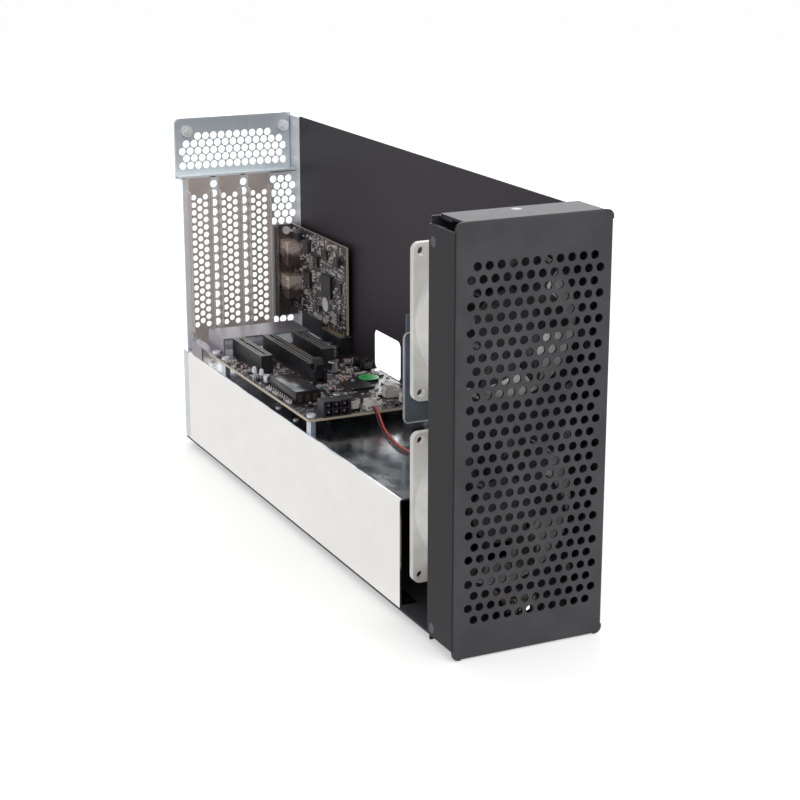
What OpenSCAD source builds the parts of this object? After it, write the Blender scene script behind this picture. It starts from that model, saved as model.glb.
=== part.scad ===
// PCIe expansion chassis, shown open, without its outer cover. Millimetres.
// x runs to the right seen from the front, y from the bezel to the rear, z up.
// The modules work from the bezel's front face and lower edge, and placed() moves them
// so that the origin is on the floor, under the middle of the part.

/* [Overall] */
// Width over the bezel
bezel_w = 84.2; // [80:0.2:96]
// Height of the bezel
bezel_h = 216.6; // [210:0.2:260]
// Height of the bezel's lower edge above the floor
bezel_lift = 0.4; // [0.2:0.1:3]
// Depth from the bezel's front to the inside of the rear panel
chassis_d = 389.5; // [380:0.5:440]
// Thickness of the structural sheet
sheet_t = 1.2; // [1:0.1:1.6]
// Inside radius of the corners of cut sheet
corner_r = 3.6; // [2:0.2:5]

/* [Bezel] */
// Depth of the bezel's side flanges
bezel_side_d = 27.5; // [24:0.5:30]
// Depth of its top and bottom flanges
bezel_top_d = 24.8; // [21:0.2:27]
// How far the flanges stop short of the bezel's corners
bezel_relief = 4.8; // [4:0.2:8]
// Outside radius of the bezel's folds
bezel_fold_r = 1.4; // [0.8:0.2:2]
// Diameter of the bezel's holes
bezel_hole_d = 4.4; // [3:0.1:5]
// Spacing of the holes along a row
bezel_pitch_x = 6.28; // [5.6:0.02:6.5]
// Spacing of the rows
bezel_pitch_z = 6.26; // [5.6:0.02:6.5]
// Number of rows
bezel_rows = 29; // [15:2:31]
// Holes in a short row, the rows between have one more
bezel_cols = 11; // [7:2:11]

/* [Fans] */
// Side of a fan frame
fan_size = 79.6; // [70:0.2:79.8]
// Depth of a fan frame
fan_d = 25; // [20:0.5:28]
// Height of the lower fan's axis
fan_low_z = 62.5; // [60:0.5:64]
// Distance between the two fan axes
fan_spacing = 95.8; // [82:0.2:100]
// Diameter of a fan's rotor shaft
shaft_d = 3; // [2:0.1:4]
// Diametral clearance of the rotor shafts
shaft_play = 0.1; // [0.06:0.02:0.18]

/* [Base and far wall] */
// Height of the base tray's underside above the bezel's lower edge
base_z = 3.8; // [3:0.1:8]
// Thickness of the far side wall
wall_t = 0.8; // [0.6:0.1:1.2]
// How far the far wall ends below the bezel's upper edge
wall_top_in = 3.8; // [2.6:0.2:12]
// Diameter of a rubber foot
foot_d = 12; // [8:0.5:16]
// Length of the window in the far wall
window_l = 38; // [20:1:60]
// Height of the window
window_h = 24.7; // [10:0.1:30]

/* [Power box] */
// Height of the deck on top of the power box
deck_z = 64.1; // [64:0.1:70]
// Where the power box begins, behind the fans
box_front_y = 61.5; // [56:0.5:80]
// Thickness of the zinc-coated sheet
zinc_t = 1; // [0.8:0.1:1.2]
// Outside radius of the fold between side and deck
box_fold_r = 1.6; // [1.2:0.1:3]
// Height of the deck's upstand along the far wall
upstand_h = 8; // [5:0.5:8.4]

/* [Power supply] */
// Length of the power supply case
psu_l = 150; // [120:5:180]
// Gap between the case and the far wall
psu_wall_gap = 2.6; // [1.6:0.2:6]
// Side of the supply's fan
psu_fan_size = 40; // [36:1:40]
// Depth of the supply's fan
psu_fan_d = 20; // [15:1:28]

/* [Rear panel and slot covers] */
// Spacing of the slots
slot_pitch = 20.37; // [20:0.01:20.6]
// Middle of the first slot cover
cover_x = -27.5; // [-28:0.1:-27]
// Height of the cover tabs' seat
seat_z = 176.2; // [172:0.2:180]
// Width of a slot cover
cover_w = 15.2; // [14:0.2:16]
// Thickness of a slot cover
cover_t = 0.8; // [0.6:0.1:1]
// Depth of a slot cover's side lips
cover_lip = 4; // [2:0.5:6]
// Diameter of a slot cover's holes
cover_hole_d = 3.5; // [2:0.1:3.7]
// Diameter of the rear panel's holes
panel_hole_d = 4.7; // [3:0.1:4.8]

/* [Retainer] */
// Height of the retainer plate above the seat of the tabs
retainer_h = 37.7; // [34:0.1:38.8]
// Depth of the retainer's foot over the cover tabs
retainer_foot = 8.4; // [6:0.2:9]
// Distance of the thumbscrew axes from the retainer's upper edge
thumb_in = 8.4; // [6.9:0.1:9]
// Diameter of a thumbscrew's knob
thumb_d = 9; // [7:0.5:11]
// Diameter of a thumbscrew's shank
shank_d = 3.4; // [3:0.1:4]
// Travel of a thumbscrew in one turn
thread_pitch = 0.7; // [0.5:0.05:0.8]

/* [Backplane] */
// Height of the board's underside above the deck
standoff_h = 7; // [5:0.5:7.4]
// Thickness of the boards
board_t = 1.6; // [1:0.1:2]
// Length of the backplane board
board_l = 163; // [155:1:175]
// Distance from the board to the rear panel
board_rear_in = 44.5; // [39.5:0.5:47.5]

/* [Slots] */
// Height of a slot above its board
slot_h = 11.3; // [10:0.1:12]
// Width of a slot
slot_w = 7.6; // [7:0.1:8]
// Distance from the slots to the rear panel
slot_rear_in = 58.9; // [58.5:0.2:64.5]
// Length of the two short slots
slot_short = 49; // [30:1:52]
// Length of the long slot
slot_long = 77; // [60:1:82]
// Width of the groove that takes a card
groove_w = 1.8; // [1.7:0.05:2]

/* [Host card] */
// Height of the card
card_h = 56; // [50:1:58]
// Length of the card
card_l = 90.3; // [88.3:0.5:98.3]

/* [Bridging plate and mid bracket] */
// Height of the bridging plate above the board
bridge_h = 11.3; // [9.3:0.5:17.3]
// Depth of the bridging plate
bridge_d = 27; // [15:1:40]
// Distance from the mid bracket to the board
mid_gap = 33; // [27:1:42]
// Width of the mid bracket
mid_w = 37; // [30:1:40]
// Height of the mid bracket
mid_h = 52.5; // [36.5:0.5:66.5]

/* [Leads] */
// Diameter of a fan lead
lead_d = 1.3; // [1:0.1:1.6]

/* [Hidden] */
$fn = 48;
// How far a cutter runs past the face that it cuts
over = 1;
// Steps along a drawn round corner
arc_steps = 6;
// Gap between pieces that lie side by side
side_gap = 0.2;
// Gap round a screw's shank
screw_gap = 0.1;

// Cross layout
half_w = bezel_w / 2;
flange_in_x = half_w - sheet_t;
flange_half_w = half_w - bezel_relief;
wall_in_x = flange_in_x - wall_t;
box_side_gap = 1;
box_side_x = -half_w + box_side_gap;
base_top_z = base_z + sheet_t;
panel_flange_d = 7;
flange_y = chassis_d - panel_flange_d;
wall_rear_y = flange_y - side_gap;
panel_rear_y = chassis_d + sheet_t;
wall_top_z = bezel_h - wall_top_in;
retainer_top_z = seat_z + retainer_h;
thumb_z = retainer_top_z - thumb_in;

// Retainer and thumbscrews
retainer_y = chassis_d + retainer_foot;
frame_y = retainer_y + sheet_t;
washer_t = 0.8;
knob_l = 8;
overall_d = frame_y + sheet_t + washer_t + knob_l;

// Bezel
bezel_hole_x = 0.7;
bezel_hole_mid_z = 107.7;
bezel_screw_y = 22.9;
bezel_screw_low_z = 9.1;
bezel_screw_top_in = 12.7;
bezel_top_screw_y = 19.4;
lamp_board_w = 16;
lamp_board_h = 7;
lamp_board_y = 6.5;
lamp_post_r = 1.6;
lamp_post_in = 2.6;
lamp_r = 1.5;
lamp_y = 2;
screw_r = 1.4;
screw_head_r = 2.6;
screw_head_h = 1.1;
screw_l = 5;

// Fan plate
plate_in = 1;
plate_y = bezel_side_d - plate_in;
plate_rear_y = plate_y + sheet_t;
plate_flange_y = 13;
plate_bore_clear = 0.8;

// Fans
fan_x = 0.2;
fan_up_z = fan_low_z + fan_spacing;
fan_flange_share = 0.16;
fan_bore_share = 0.96;
fan_barrel_share = 0.985;
fan_hole_share = 0.895;
fan_hole_d = 4.4;
fan_corner_share = 0.05;
hub_share = 0.43;
tip_share = 0.94;
strut_share = 0.07;
fan_rear_gap_share = 0.023;
strut_w_share = 0.06;
bearing_share = 0.09;
gusset_w_share = 0.03;
blade_chord_share = 0.3;
blade_t_share = 0.016;
blade_count = 7;
blade_pitch = 36;
blade_curve = 40;

// Base tray and feet
tray_flange_h = 10;
tray_flange_in = 12;
foot_in = 16;
foot_front_y = 60;
foot_rear_in = 30;

// Far wall
wall_front_y = 14;
window_share = 0.5905;
window_y = chassis_d * window_share;
window_lift = 8.2;
window_z = deck_z + window_lift;
window_r = 4;

// Power box
box_foot_w = 11;
stud_r = 1.6;
stud_h = 0.6;
stud_in = 5.4;
stud_x = box_side_x + stud_in;
stud_shares = [0.178, 0.3436, 1.0368];

// Power supply
supply_foot_gap = 0.6;
supply_x = box_side_x + box_foot_w + supply_foot_gap;
supply_z = base_top_z;
supply_top_gap = 2;
supply_top_z = deck_z - zinc_t - supply_top_gap;
supply_mid_z = (supply_z + supply_top_z) / 2;
supply_wall = 0.8;
psu_w = wall_in_x - psu_wall_gap - supply_x;
supply_fan_in = 1;
supply_fan_x = supply_x + supply_fan_in + psu_fan_size / 2;
supply_hole_share = 0.8;
supply_slots = 9;
supply_slot_w = 3;
supply_board_front = 6;
supply_board_rear = 8;
supply_board_side = 2;
supply_post_r = 3;
supply_sink_in = 6;
supply_sink_t = 2;
supply_sink_h = 34;
supply_sink_front = 14;
supply_sink_rear = 20;
supply_coil = [24, 28, 28];
supply_coil_in = [20, 50];
supply_can = [6, 26];
supply_cans = 3;
supply_can_in = [18, 16];
supply_can_pitch = 15;
supply_drum = [9, 30];
supply_drum_in = [32, 36];
inlet_in = 12.9;
inlet_x = supply_x + psu_w - inlet_in;
inlet_w = 20;
inlet_h = 27.4;
inlet_d = 18;
inlet_wall = 1.6;
inlet_flange_w = 24;
inlet_flange_h = 38;
inlet_flange_t = 2.4;
inlet_r = 3;
pin_w = 2;
pin_h = 5;
pin_l = 13;
pin_gap = 7;
supply_board_lift = 4;
guard_wire = 1.4;
guard_rings = 3;
guard_lift = 0.9;

// Rear panel
panel_left_in = 2.8;
panel_left_x = box_side_x + panel_left_in;
panel_hex_pitch = 5.35;
panel_hex_cols = 3;
panel_row_share = 0.6;
panel_web_pitch = 6.1;
panel_window_w = 12.4;
panel_window_in = 6.5;
panel_window_top_in = 8;
panel_field_top_in = 2;
frame_bar = 2.4;
frame_window_in = 4.8;
frame_window_z = seat_z + frame_window_in;
frame_window_top_in = 12.9;
frame_window_top_z = retainer_top_z - frame_window_top_in;
frame_step_h = 3.6;
frame_step_w = 54;
strip_top_in = 1.9;
strip_top_z = retainer_top_z - strip_top_in;
strip_hole_d = 2.6;
strip_hole_y = chassis_d + strip_hole_d / 2;
strip_hole_in = [9, 4.5];

// Slot covers
cover_lift = 7.4;
cover_low_z = deck_z + cover_lift;
panel_window_z = cover_low_z + panel_window_in;
cover_cols_pitch = 4;
cover_rows_pitch = 4.96;
cover_row_in = 8.2;
cover_row_z = cover_low_z + cover_row_in;
cover_top_in = 10;
cover_rows = floor((seat_z - cover_top_in - cover_row_z) / cover_rows_pitch) + 1;
cover_tab_w = 17.4;
cover_tongue_w = 10;
cover_tongue_l = 5.5;
cover_tongue_z = cover_low_z - cover_tongue_l;

// Retainer
retainer_in = [1.4, 1.7];
retainer_x = box_side_x + retainer_in[0];
retainer_w = -box_side_x - retainer_in[1] - retainer_x;
retainer_r = 4;
retainer_counts = [10, 13, 14, 13, 14];
retainer_row_shares = [0.684, 0.56, 0.435, 0.313, 0.188];
retainer_mid_x = retainer_x + retainer_w / 2;
thumb_side_in = [7.9, 4.6];
thumb_xs = [retainer_x + thumb_side_in[0], retainer_x + retainer_w - thumb_side_in[1]];
knurls = 24;
knurl_r = 0.4;
nut_r = 3.6;
nut_h = 1.8;
shank_gap = 0.06;

// Backplane
board_rear_y = chassis_d - board_rear_in;
board_front_y = board_rear_y - board_l;
board_in = 1.1;
board_x = box_side_x + board_in;
board_wall_gap = 1.2;
board_w = wall_in_x - board_wall_gap - board_x;
board_z = deck_z + standoff_h;
board_top_z = board_z + board_t;
standoff_r = 2.9;
standoff_x_shares = [0.043, 0.57, 0.957];
standoff_y_shares = [0.025, 0.455, 0.865];
pan_r = 2.6;
pan_h = 1.6;

// Slots
slot_in = 15.9;
slot_x = box_side_x + slot_in;
slot_rear_y = chassis_d - slot_rear_in;
slot_xs = [for (i = [0 : 3]) slot_x + i * slot_pitch];
groove_h = 8.4;
slot_end = 3;
slot_key_y = 12.6;
slot_key_w = 1.7;
host_slot_l = 30;
latch_r = 1;
latch_play = 0.06;
latch_w = 4.6;
latch_set = 3.6;
latch_lift = 4.6;
latch_top = 15;
latch_t = 3.4;
ear_t = 1.8;
ear_gap = 0.2;
ear_l = 7;
ear_h = 8;

// Bridging plate
bridge_z = board_top_z + bridge_h;
bridge_in = [6.1, 17.1];
bridge_x = box_side_x + bridge_in[0];
bridge_right_x = wall_in_x - bridge_in[1];
bridge_foot_in = 0.5;
bridge_foot_x = box_side_x + bridge_foot_in;
bridge_foot_d = 44;
bridge_leg_d = 18.5;
bridge_gap = 0.4;
bridge_y = slot_rear_y + bridge_gap;

// Parts on the backplane
connector_in = 9;
connector_x = board_x + connector_in;
connector_w = 17;
connector_d = 9;
connector_h = 9.3;
connector_out = 0.6;
connector_y = board_front_y - connector_out;
connector_cell = 4.2;
connector_cell_d = 7;
connector_wall = 0.7;
board_free_l = slot_rear_y - slot_short - board_front_y;
module_shares = [-0.481, 0.311, 0.3916];
module_x = slot_x + module_shares[0] * slot_pitch;
module_y = board_front_y + module_shares[1] * board_free_l;
module_w = 16;
module_l = module_shares[2] * board_free_l;
module_h = 7.3;
lid = 0.6;
plug_in = [36.4, 1];
plug_size = [7.6, 6, 6.2];
// Places on the board are shares of the slots' pitch across it, from the first slot, and of its
// free part in front of the short slots. Round capacitors add their radius and height as shares
// of a slot's width and height
can_shares = [[0.648, 0.151, 0.42, 0.53], [0.648, 0.231, 0.42, 0.53], [1.826, 0.853, 0.42, 0.62],
    [-0.383, 0.803, 0.33, 0.44], [2.563, 1.185, 0.42, 0.62], [2.563, 1.275, 0.42, 0.62]];
// Chips add their width, length and height as shares of the largest chip's side
chip_side = 17;
chip_shares = [[1.433, 0.402, 1, 1, 0.094], [2.513, 0.402, 0.53, 0.53, 0.07],
    [2.513, 0.181, 0.41, 0.705, 0.082], [0.648, 0.361, 0.41, 0.41, 0.06],
    [1.306, 1.084, 0.47, 1.175, 0.082], [0.324, 1.185, 0.41, 0.59, 0.07],
    [0.452, 0.833, 0.353, 0.353, 0.06]];
// Headers add their width, length and height as shares of the longest header
header_l = 9;
header_shares = [[2.023, 0.171, 1, 0.667, 0.778], [2.71, 0.803, 0.778, 0.556, 0.667],
    [-0.579, 0.864, 0.267, 0.267, 0.444], [2.71, 0.904, 0.778, 0.556, 0.556],
    [0.648, 0.05, 0.667, 0.333, 0.556], [2.219, 0.04, 1, 0.556, 0.667]];

// Host card
card_x = slot_xs[3];
card_lift = 2;
card_low_z = board_top_z + slot_h + card_lift;
card_top_z = card_low_z + card_h;
card_front_y = chassis_d - sheet_t - card_l;
card_tab_lift = 3.5;
card_tab_z = board_top_z + card_tab_lift;
card_tab_in = 3.6;
card_tab_l = 23;
bracket_left = 11.91;
bracket_right = 3.69;
bracket_x = card_x - bracket_left;
bracket_right_x = card_x + bracket_right;
bracket_lift = 15.9;
bracket_low_z = deck_z + bracket_lift;
bracket_top_in = 0.8;
bracket_top_z = card_top_z - bracket_top_in;
port_w = 9;
port_h = 15;
port_d = 17;
port_shares = [0.161, 0.554];
port_zs = [for (share = port_shares) card_low_z + share * card_h];
// Parts on the card: places as shares of its length and height, then length, height and depth
// as shares of the largest one's side
card_chip = 16;
card_part_shares = [[0.2215, 0.3214, 1, 1, 0.1375], [0.465, 0.607, 0.5625, 0.5625, 0.1],
    [0.443, 0.107, 0.5, 0.3125, 0.075], [0.0886, 0.75, 0.375, 0.375, 0.1875],
    [0.0886, 0.107, 0.375, 0.375, 0.075], [0.598, 0.3214, 0.75, 0.75, 0.125],
    [0.62, 0.75, 0.5, 0.5, 0.1875], [0.31, 0.75, 0.625, 0.4375, 0.075],
    [0.775, 0.857, 0.5, 0.3125, 0.25], [0.0664, 0.4286, 0.3125, 0.5625, 0.0625]];
port_rim = 0.5;
port_wall = 0.6;

// Mid bracket
mid_lift = 9.4;
mid_low_z = deck_z + mid_lift;
mid_top_z = mid_low_z + mid_h;
mid_y = board_front_y - mid_gap;
mid_x = wall_in_x - mid_w;
mid_fold = 13;
mid_rim = 1;
mid_tab_w = 4;
mid_tab_h = 10;
mid_tab_in = 1.9;
mid_tab_x = mid_x + mid_tab_in;

// Leads, each route a list of points from the plug to the lower fan's frame
lead_gap = 1.7;
lead_sides = 8;
lead_route = [[1.2, 183, 75], [1, 180, 74.8], [0.8, 177, 73.4], [0.4, 173, 70.4], [0, 168, 67],
    [-0.4, 163, 65.4], [-1.4, 157, 65], [-2.6, 150, 65], [-3.8, 143, 65], [-4.2, 136, 65],
    [-3.8, 129, 65], [-2.6, 122, 65], [-1.4, 114, 65], [-1.2, 106, 65], [-2.4, 98, 65],
    [-5, 90, 65], [-8.4, 82, 65], [-12, 75, 65.4], [-15.4, 69, 67.4], [-18.4, 64, 71.4],
    [-20.8, 60, 77.4], [-22.4, 57.4, 84], [-23.4, 55.8, 90], [-24, 54.6, 94.4], [-24, 52.7, 96]];
block_route = [[12, 152, 66.6], [12, 149, 66.6], [12.2, 145, 66.4], [12.6, 140, 65.8], [13, 135, 65.2],
    [13.2, 130, 65], [13, 125, 65.2], [12.6, 120, 65.8],
    [12.2, 115, 66.4], [12, 111, 66.6], [12, 108, 66.6]];
gland_y = 100;
gland_d = 8;
block_x = 9.6;
block_y = 152;
block_w = 8;
block_d = 11;
block_h = 5.4;

// Moves a piece from the bezel's corner of reference to the part's own frame
module placed() {
    translate([0, -overall_d / 2, bezel_lift]) children();
}

// A block between two corners
module block(low, high) {
    translate(low) cube(high - low);
}

// An upright sheet across the chassis: an outline in x and z, its front face at y
module across(y, t) {
    translate([0, y + t, 0]) rotate([90, 0, 0]) linear_extrude(t) children();
}

// An upright sheet along the chassis: an outline in y and z, its left face at x
module along(x, t) {
    translate([x, 0, 0]) rotate([90, 0, 90]) linear_extrude(t) children();
}

// A level sheet: an outline in x and y, its lower face at z
module level(z, t) {
    translate([0, 0, z]) linear_extrude(t) children();
}

function arc_pts(x, y, r, from, to) = [for (i = [0 : arc_steps])
    let (a = from + (to - from) * i / arc_steps) [x + r * cos(a), y + r * sin(a)]];

function round_pts(low, high, r) = concat(
    arc_pts(high.x - r, high.y - r, r, 0, 90),
    arc_pts(low.x + r, high.y - r, r, 90, 180),
    arc_pts(low.x + r, low.y + r, r, 180, 270),
    arc_pts(high.x - r, low.y + r, r, 270, 360));

// A flat outline with round corners between two corners
module round_rect(low, high, r) {
    polygon(round_pts(low, high, r));
}

// A rod along y, from y over a length
module rod_y(x, y, z, r, l) {
    translate([x, y + l, z]) rotate([90, 0, 0]) cylinder(h = l, r = r);
}

// A rod along x, from x over a length
module rod_x(x, y, z, r, l) {
    translate([x, y, z]) rotate([0, 90, 0]) cylinder(h = l, r = r);
}

// A countersunk screw pointing up, its flat face at the origin
module flat_screw(l) {
    cylinder(h = screw_head_h, r1 = screw_head_r, r2 = screw_r);
    translate([0, 0, screw_head_h]) cylinder(h = l - screw_head_h, r = screw_r);
}

// The hole that a countersunk screw needs
module flat_screw_hole(l) {
    cylinder(h = screw_head_h, r1 = screw_head_r, r2 = screw_r);
    cylinder(h = l, r = screw_r + screw_gap);
}

// A pan head screw pointing down from the origin
module pan_screw(l) {
    cylinder(h = pan_h, r = pan_r);
    translate([0, 0, -l]) cylinder(h = l, r = screw_r);
}

// Places a bezel screw at each of its places, pointing inwards
module at_bezel_screws() {
    for (side = [-1, 1]) {
        for (z = [bezel_screw_low_z, bezel_h - bezel_screw_top_in]) {
            translate([side * half_w, bezel_screw_y, z]) rotate([0, -side * 90, 0]) children();
        }
    }
    translate([0, bezel_top_screw_y, bezel_h]) rotate([180, 0, 0]) children();
    translate([0, bezel_top_screw_y, 0]) children();
}

// The hole field of the bezel
module bezel_holes() {
    for (row = [0 : bezel_rows - 1]) {
        n = bezel_cols + row % 2;
        z = bezel_hole_mid_z + (row - (bezel_rows - 1) / 2) * bezel_pitch_z;
        for (i = [0 : n - 1]) {
            translate([bezel_hole_x + (i - (n - 1) / 2) * bezel_pitch_x, z]) circle(d = bezel_hole_d);
        }
    }
}

// What a fold's outside radius takes away from a square edge, in the quarter at the origin
module fold_cut(r) {
    difference() {
        translate([-over, -over]) square(r + over);
        translate([r, r]) circle(r);
    }
}

module front_bezel() {
    color("#47474a") placed() difference() {
        union() {
            across(0, sheet_t) difference() {
                round_rect([-half_w, 0], [half_w, bezel_h], corner_r);
                bezel_holes();
            }
            for (side = [0, 1]) mirror([side, 0, 0]) {
                block([flange_in_x, sheet_t, bezel_relief], [half_w, bezel_side_d, bezel_h - bezel_relief]);
            }
            for (z = [0, bezel_h - sheet_t]) {
                block([-flange_half_w, sheet_t, z], [flange_half_w, bezel_top_d, z + sheet_t]);
            }
        }
        for (side = [0, 1]) mirror([side, 0, 0]) {
            translate([-half_w, 0, bezel_relief]) linear_extrude(bezel_h - 2 * bezel_relief) {
                fold_cut(bezel_fold_r);
            }
        }
        along(-flange_half_w, 2 * flange_half_w) fold_cut(bezel_fold_r);
        along(-flange_half_w, 2 * flange_half_w) {
            translate([0, bezel_h]) mirror([0, 1]) fold_cut(bezel_fold_r);
        }
        at_bezel_screws() flat_screw_hole(screw_l);
    }
}

module bezel_screws() {
    color("#262628") placed() at_bezel_screws() flat_screw(screw_l);
}

// A pan of sheet behind the bezel, with one round opening for each fan
module fan_plate() {
    color("#1f1f21") placed() difference() {
        union() {
            across(plate_y, sheet_t) difference() {
                translate([-flange_in_x, sheet_t]) square([flange_in_x + wall_in_x, bezel_h - 2 * sheet_t]);
                for (z = [fan_low_z, fan_up_z]) {
                    translate([fan_x, z]) circle(d = fan_size * fan_bore_share + plate_bore_clear);
                }
            }
            for (x = [-flange_in_x, wall_in_x - sheet_t]) {
                block([x, plate_flange_y, bezel_relief], [x + sheet_t, plate_y, bezel_h - bezel_relief]);
            }
            for (z = [sheet_t, bezel_h - 2 * sheet_t]) {
                block([-flange_half_w, plate_flange_y, z], [flange_half_w, plate_y, z + sheet_t]);
            }
        }
        at_bezel_screws() flat_screw_hole(screw_l + over);
        at_fan_holes() cylinder(h = fan_d, r = screw_r + screw_gap, center = true);
    }
}

// Places something at each fan screw, on the front of the fan plate, pointing forwards
module at_fan_holes() {
    for (z = [fan_low_z, fan_up_z]) {
        for (i = [-1, 1], k = [-1, 1]) {
            translate([fan_x + i * fan_size * fan_hole_share / 2, plate_y,
                z + k * fan_size * fan_hole_share / 2]) rotate([90, 0, 0]) children();
        }
    }
}

module fan_screws() {
    color("#2b2b2d") placed() at_fan_holes() pan_screw(screw_l);
}

// The board that carries the indicator lamps, on two posts in front of the fan plate
module indicator_board() {
    low_z = bezel_lamp_z() - lamp_board_h / 2;
    back_y = lamp_board_y + board_t;
    color("#1d3b2a") placed() {
        block([-lamp_board_w / 2, lamp_board_y, low_z], [lamp_board_w / 2, back_y, low_z + lamp_board_h]);
        for (side = [-1, 1]) {
            rod_y(side * (lamp_board_w / 2 - lamp_post_in), back_y, bezel_lamp_z(), lamp_post_r,
                plate_y - back_y);
        }
    }
}

// Height of the lowest row of bezel holes
function bezel_lamp_z() = bezel_hole_mid_z - (bezel_rows - 1) / 2 * bezel_pitch_z;

module indicator_lamps() {
    color("#f2f2f2") placed() {
        for (x = [bezel_hole_x - bezel_pitch_x, bezel_hole_x]) {
            rod_y(x, lamp_y, bezel_lamp_z(), lamp_r, lamp_board_y - lamp_y);
        }
    }
}

// The outline of a fan's flange: a square with round corners, the bore and four holes
module fan_outline(size, hole_share, hole_d) {
    difference() {
        round_rect([-size / 2, -size / 2], [size / 2, size / 2], size * fan_corner_share);
        circle(d = size * fan_bore_share);
        for (i = [-1, 1], k = [-1, 1]) {
            translate([i * size * hole_share / 2, k * size * hole_share / 2]) circle(d = hole_d);
        }
    }
}

// A fan frame on its own axis: front face at y = 0, motor and struts at the rear
module fan_frame(size, d, hole_share, hole_d) {
    flange = d * fan_flange_share;
    hub_t = d * strut_share * 2;
    bearing_l = d / 2;
    gusset_w = size * gusset_w_share;
    strut_w = size * strut_w_share;
    wall_mid = size * (fan_bore_share + fan_barrel_share) / 4;
    gusset_l = (size * hole_share / sqrt(2) - hole_d / 2 - wall_mid) / 2;
    difference() {
        union() {
            across(0, flange) fan_outline(size, hole_share, hole_d);
            across(d - flange, flange) fan_outline(size, hole_share, hole_d);
            across(0, d) difference() {
                circle(d = size * fan_barrel_share);
                circle(d = size * fan_bore_share);
            }
            for (turn = [45 : 90 : 315]) rotate([0, turn, 0]) {
                block([wall_mid, flange / 2, -gusset_w / 2],
                    [wall_mid + gusset_l, d - flange / 2, gusset_w / 2]);
            }
            for (turn = [45 : 90 : 315]) rotate([0, turn, 0]) {
                block([size * hub_share / 2 - hub_t, d - hub_t, -strut_w / 2], [wall_mid, d, strut_w / 2]);
            }
            rod_y(0, d - hub_t, 0, size * hub_share / 2, hub_t);
            rod_y(0, d - hub_t - bearing_l, 0, size * bearing_share / 2 + shaft_d / 4,
                bearing_l + hub_t / 2);
        }
        rod_y(0, d - hub_t - bearing_l - over, 0, (shaft_d + shaft_play) / 2, bearing_l + over);
    }
}

// A curved blade: an outline in y and z, bent about a point beside it
module blade_outline(chord, t) {
    r = chord / 2 / sin(blade_curve / 2);
    rotate(blade_pitch) translate([0, -r * cos(blade_curve / 2)]) {
        polygon(concat(arc_pts(0, 0, r + t / 2, 90 - blade_curve / 2, 90 + blade_curve / 2),
            arc_pts(0, 0, r - t / 2, 90 + blade_curve / 2, 90 - blade_curve / 2)));
    }
}

// A fan rotor on its own axis, in the frame of the same size
module fan_rotor(size, d) {
    hub_t = d * strut_share * 2;
    bearing_l = d / 2;
    front = d * strut_share / 2;
    rear = d - hub_t - d * fan_rear_gap_share;
    skin = d * strut_share;
    hub_r = size * hub_share / 2;
    root = hub_r - skin / 2;
    difference() {
        rod_y(0, front, 0, hub_r, rear - front);
        rod_y(0, front + skin, 0, hub_r - skin, d);
    }
    rod_y(0, front + skin, 0, shaft_d / 2, rear - front - skin);
    intersection() {
        rod_y(0, 0, 0, size * tip_share / 2, d - hub_t);
        difference() {
            for (i = [0 : blade_count - 1]) rotate([0, i * 360 / blade_count, 0]) {
                translate([0, (front + rear) / 2, 0]) along(root, size / 2 - root) {
                    blade_outline(size * blade_chord_share, size * blade_t_share);
                }
            }
            rod_y(0, -over, 0, root, d);
        }
    }
}

module at_fan(z) {
    placed() translate([fan_x, plate_rear_y, z]) children();
}

module upper_fan_frame() {
    color("#c6c5c1") at_fan(fan_up_z) fan_frame(fan_size, fan_d, fan_hole_share, fan_hole_d);
}

module lower_fan_frame() {
    color("#c6c5c1") at_fan(fan_low_z) fan_frame(fan_size, fan_d, fan_hole_share, fan_hole_d);
}

module upper_fan_rotor() {
    color("#2a2b2d") at_fan(fan_up_z) fan_rotor(fan_size, fan_d);
}

module lower_fan_rotor() {
    color("#2a2b2d") at_fan(fan_low_z) fan_rotor(fan_size, fan_d);
}

module base_tray() {
    color("#202022") placed() {
        block([box_side_x, plate_rear_y, base_z], [wall_in_x, chassis_d, base_top_z]);
        block([tray_flange_in - half_w, plate_rear_y, base_top_z],
            [half_w - tray_flange_in, plate_rear_y + sheet_t, base_top_z + tray_flange_h]);
        block([wall_in_x - zinc_t, box_front_y, base_top_z],
            [wall_in_x, flange_y - over, base_top_z + tray_flange_h]);
    }
}

module feet() {
    color("#19191a") placed() {
        for (side = [-1, 1], y = [foot_front_y, chassis_d - foot_rear_in]) {
            translate([side * (half_w - foot_in), y, -bezel_lift]) {
                cylinder(h = base_z + bezel_lift, r1 = foot_d / 2 - over / 2, r2 = foot_d / 2);
            }
        }
    }
}

module far_side_wall() {
    color("#2e2d2c") placed() difference() {
        along(wall_in_x, wall_t) difference() {
            translate([wall_front_y, base_z]) square([wall_rear_y - wall_front_y, wall_top_z - base_z]);
            round_rect([window_y, window_z], [window_y + window_l, window_z + window_h], window_r);
        }
        at_bezel_screws() cylinder(h = screw_l, r = screw_r + screw_gap);
    }
}

// The zinc box over the power supply: foot, side, deck and upstand in one folded sheet
module power_box() {
    fold_in = box_fold_r - zinc_t;
    left = box_side_x;
    right = wall_in_x;
    top = deck_z;
    low = base_top_z;
    color("#dcdcda") placed() {
        across(box_front_y, flange_y - side_gap - box_front_y) polygon(concat(
            [[left + box_foot_w, low], [left, low]],
            arc_pts(left + box_fold_r, top - box_fold_r, box_fold_r, 180, 90),
            [[right - zinc_t, top], [right - zinc_t, top + upstand_h], [right, top + upstand_h],
                [right, top - zinc_t]],
            arc_pts(left + box_fold_r, top - box_fold_r, fold_in, 90, 180),
            [[left + zinc_t, low + zinc_t], [left + box_foot_w, low + zinc_t]]));
        block([left + sheet_t, flange_y - side_gap, top - zinc_t], [right - side_gap, chassis_d, top]);
    }
}

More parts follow.
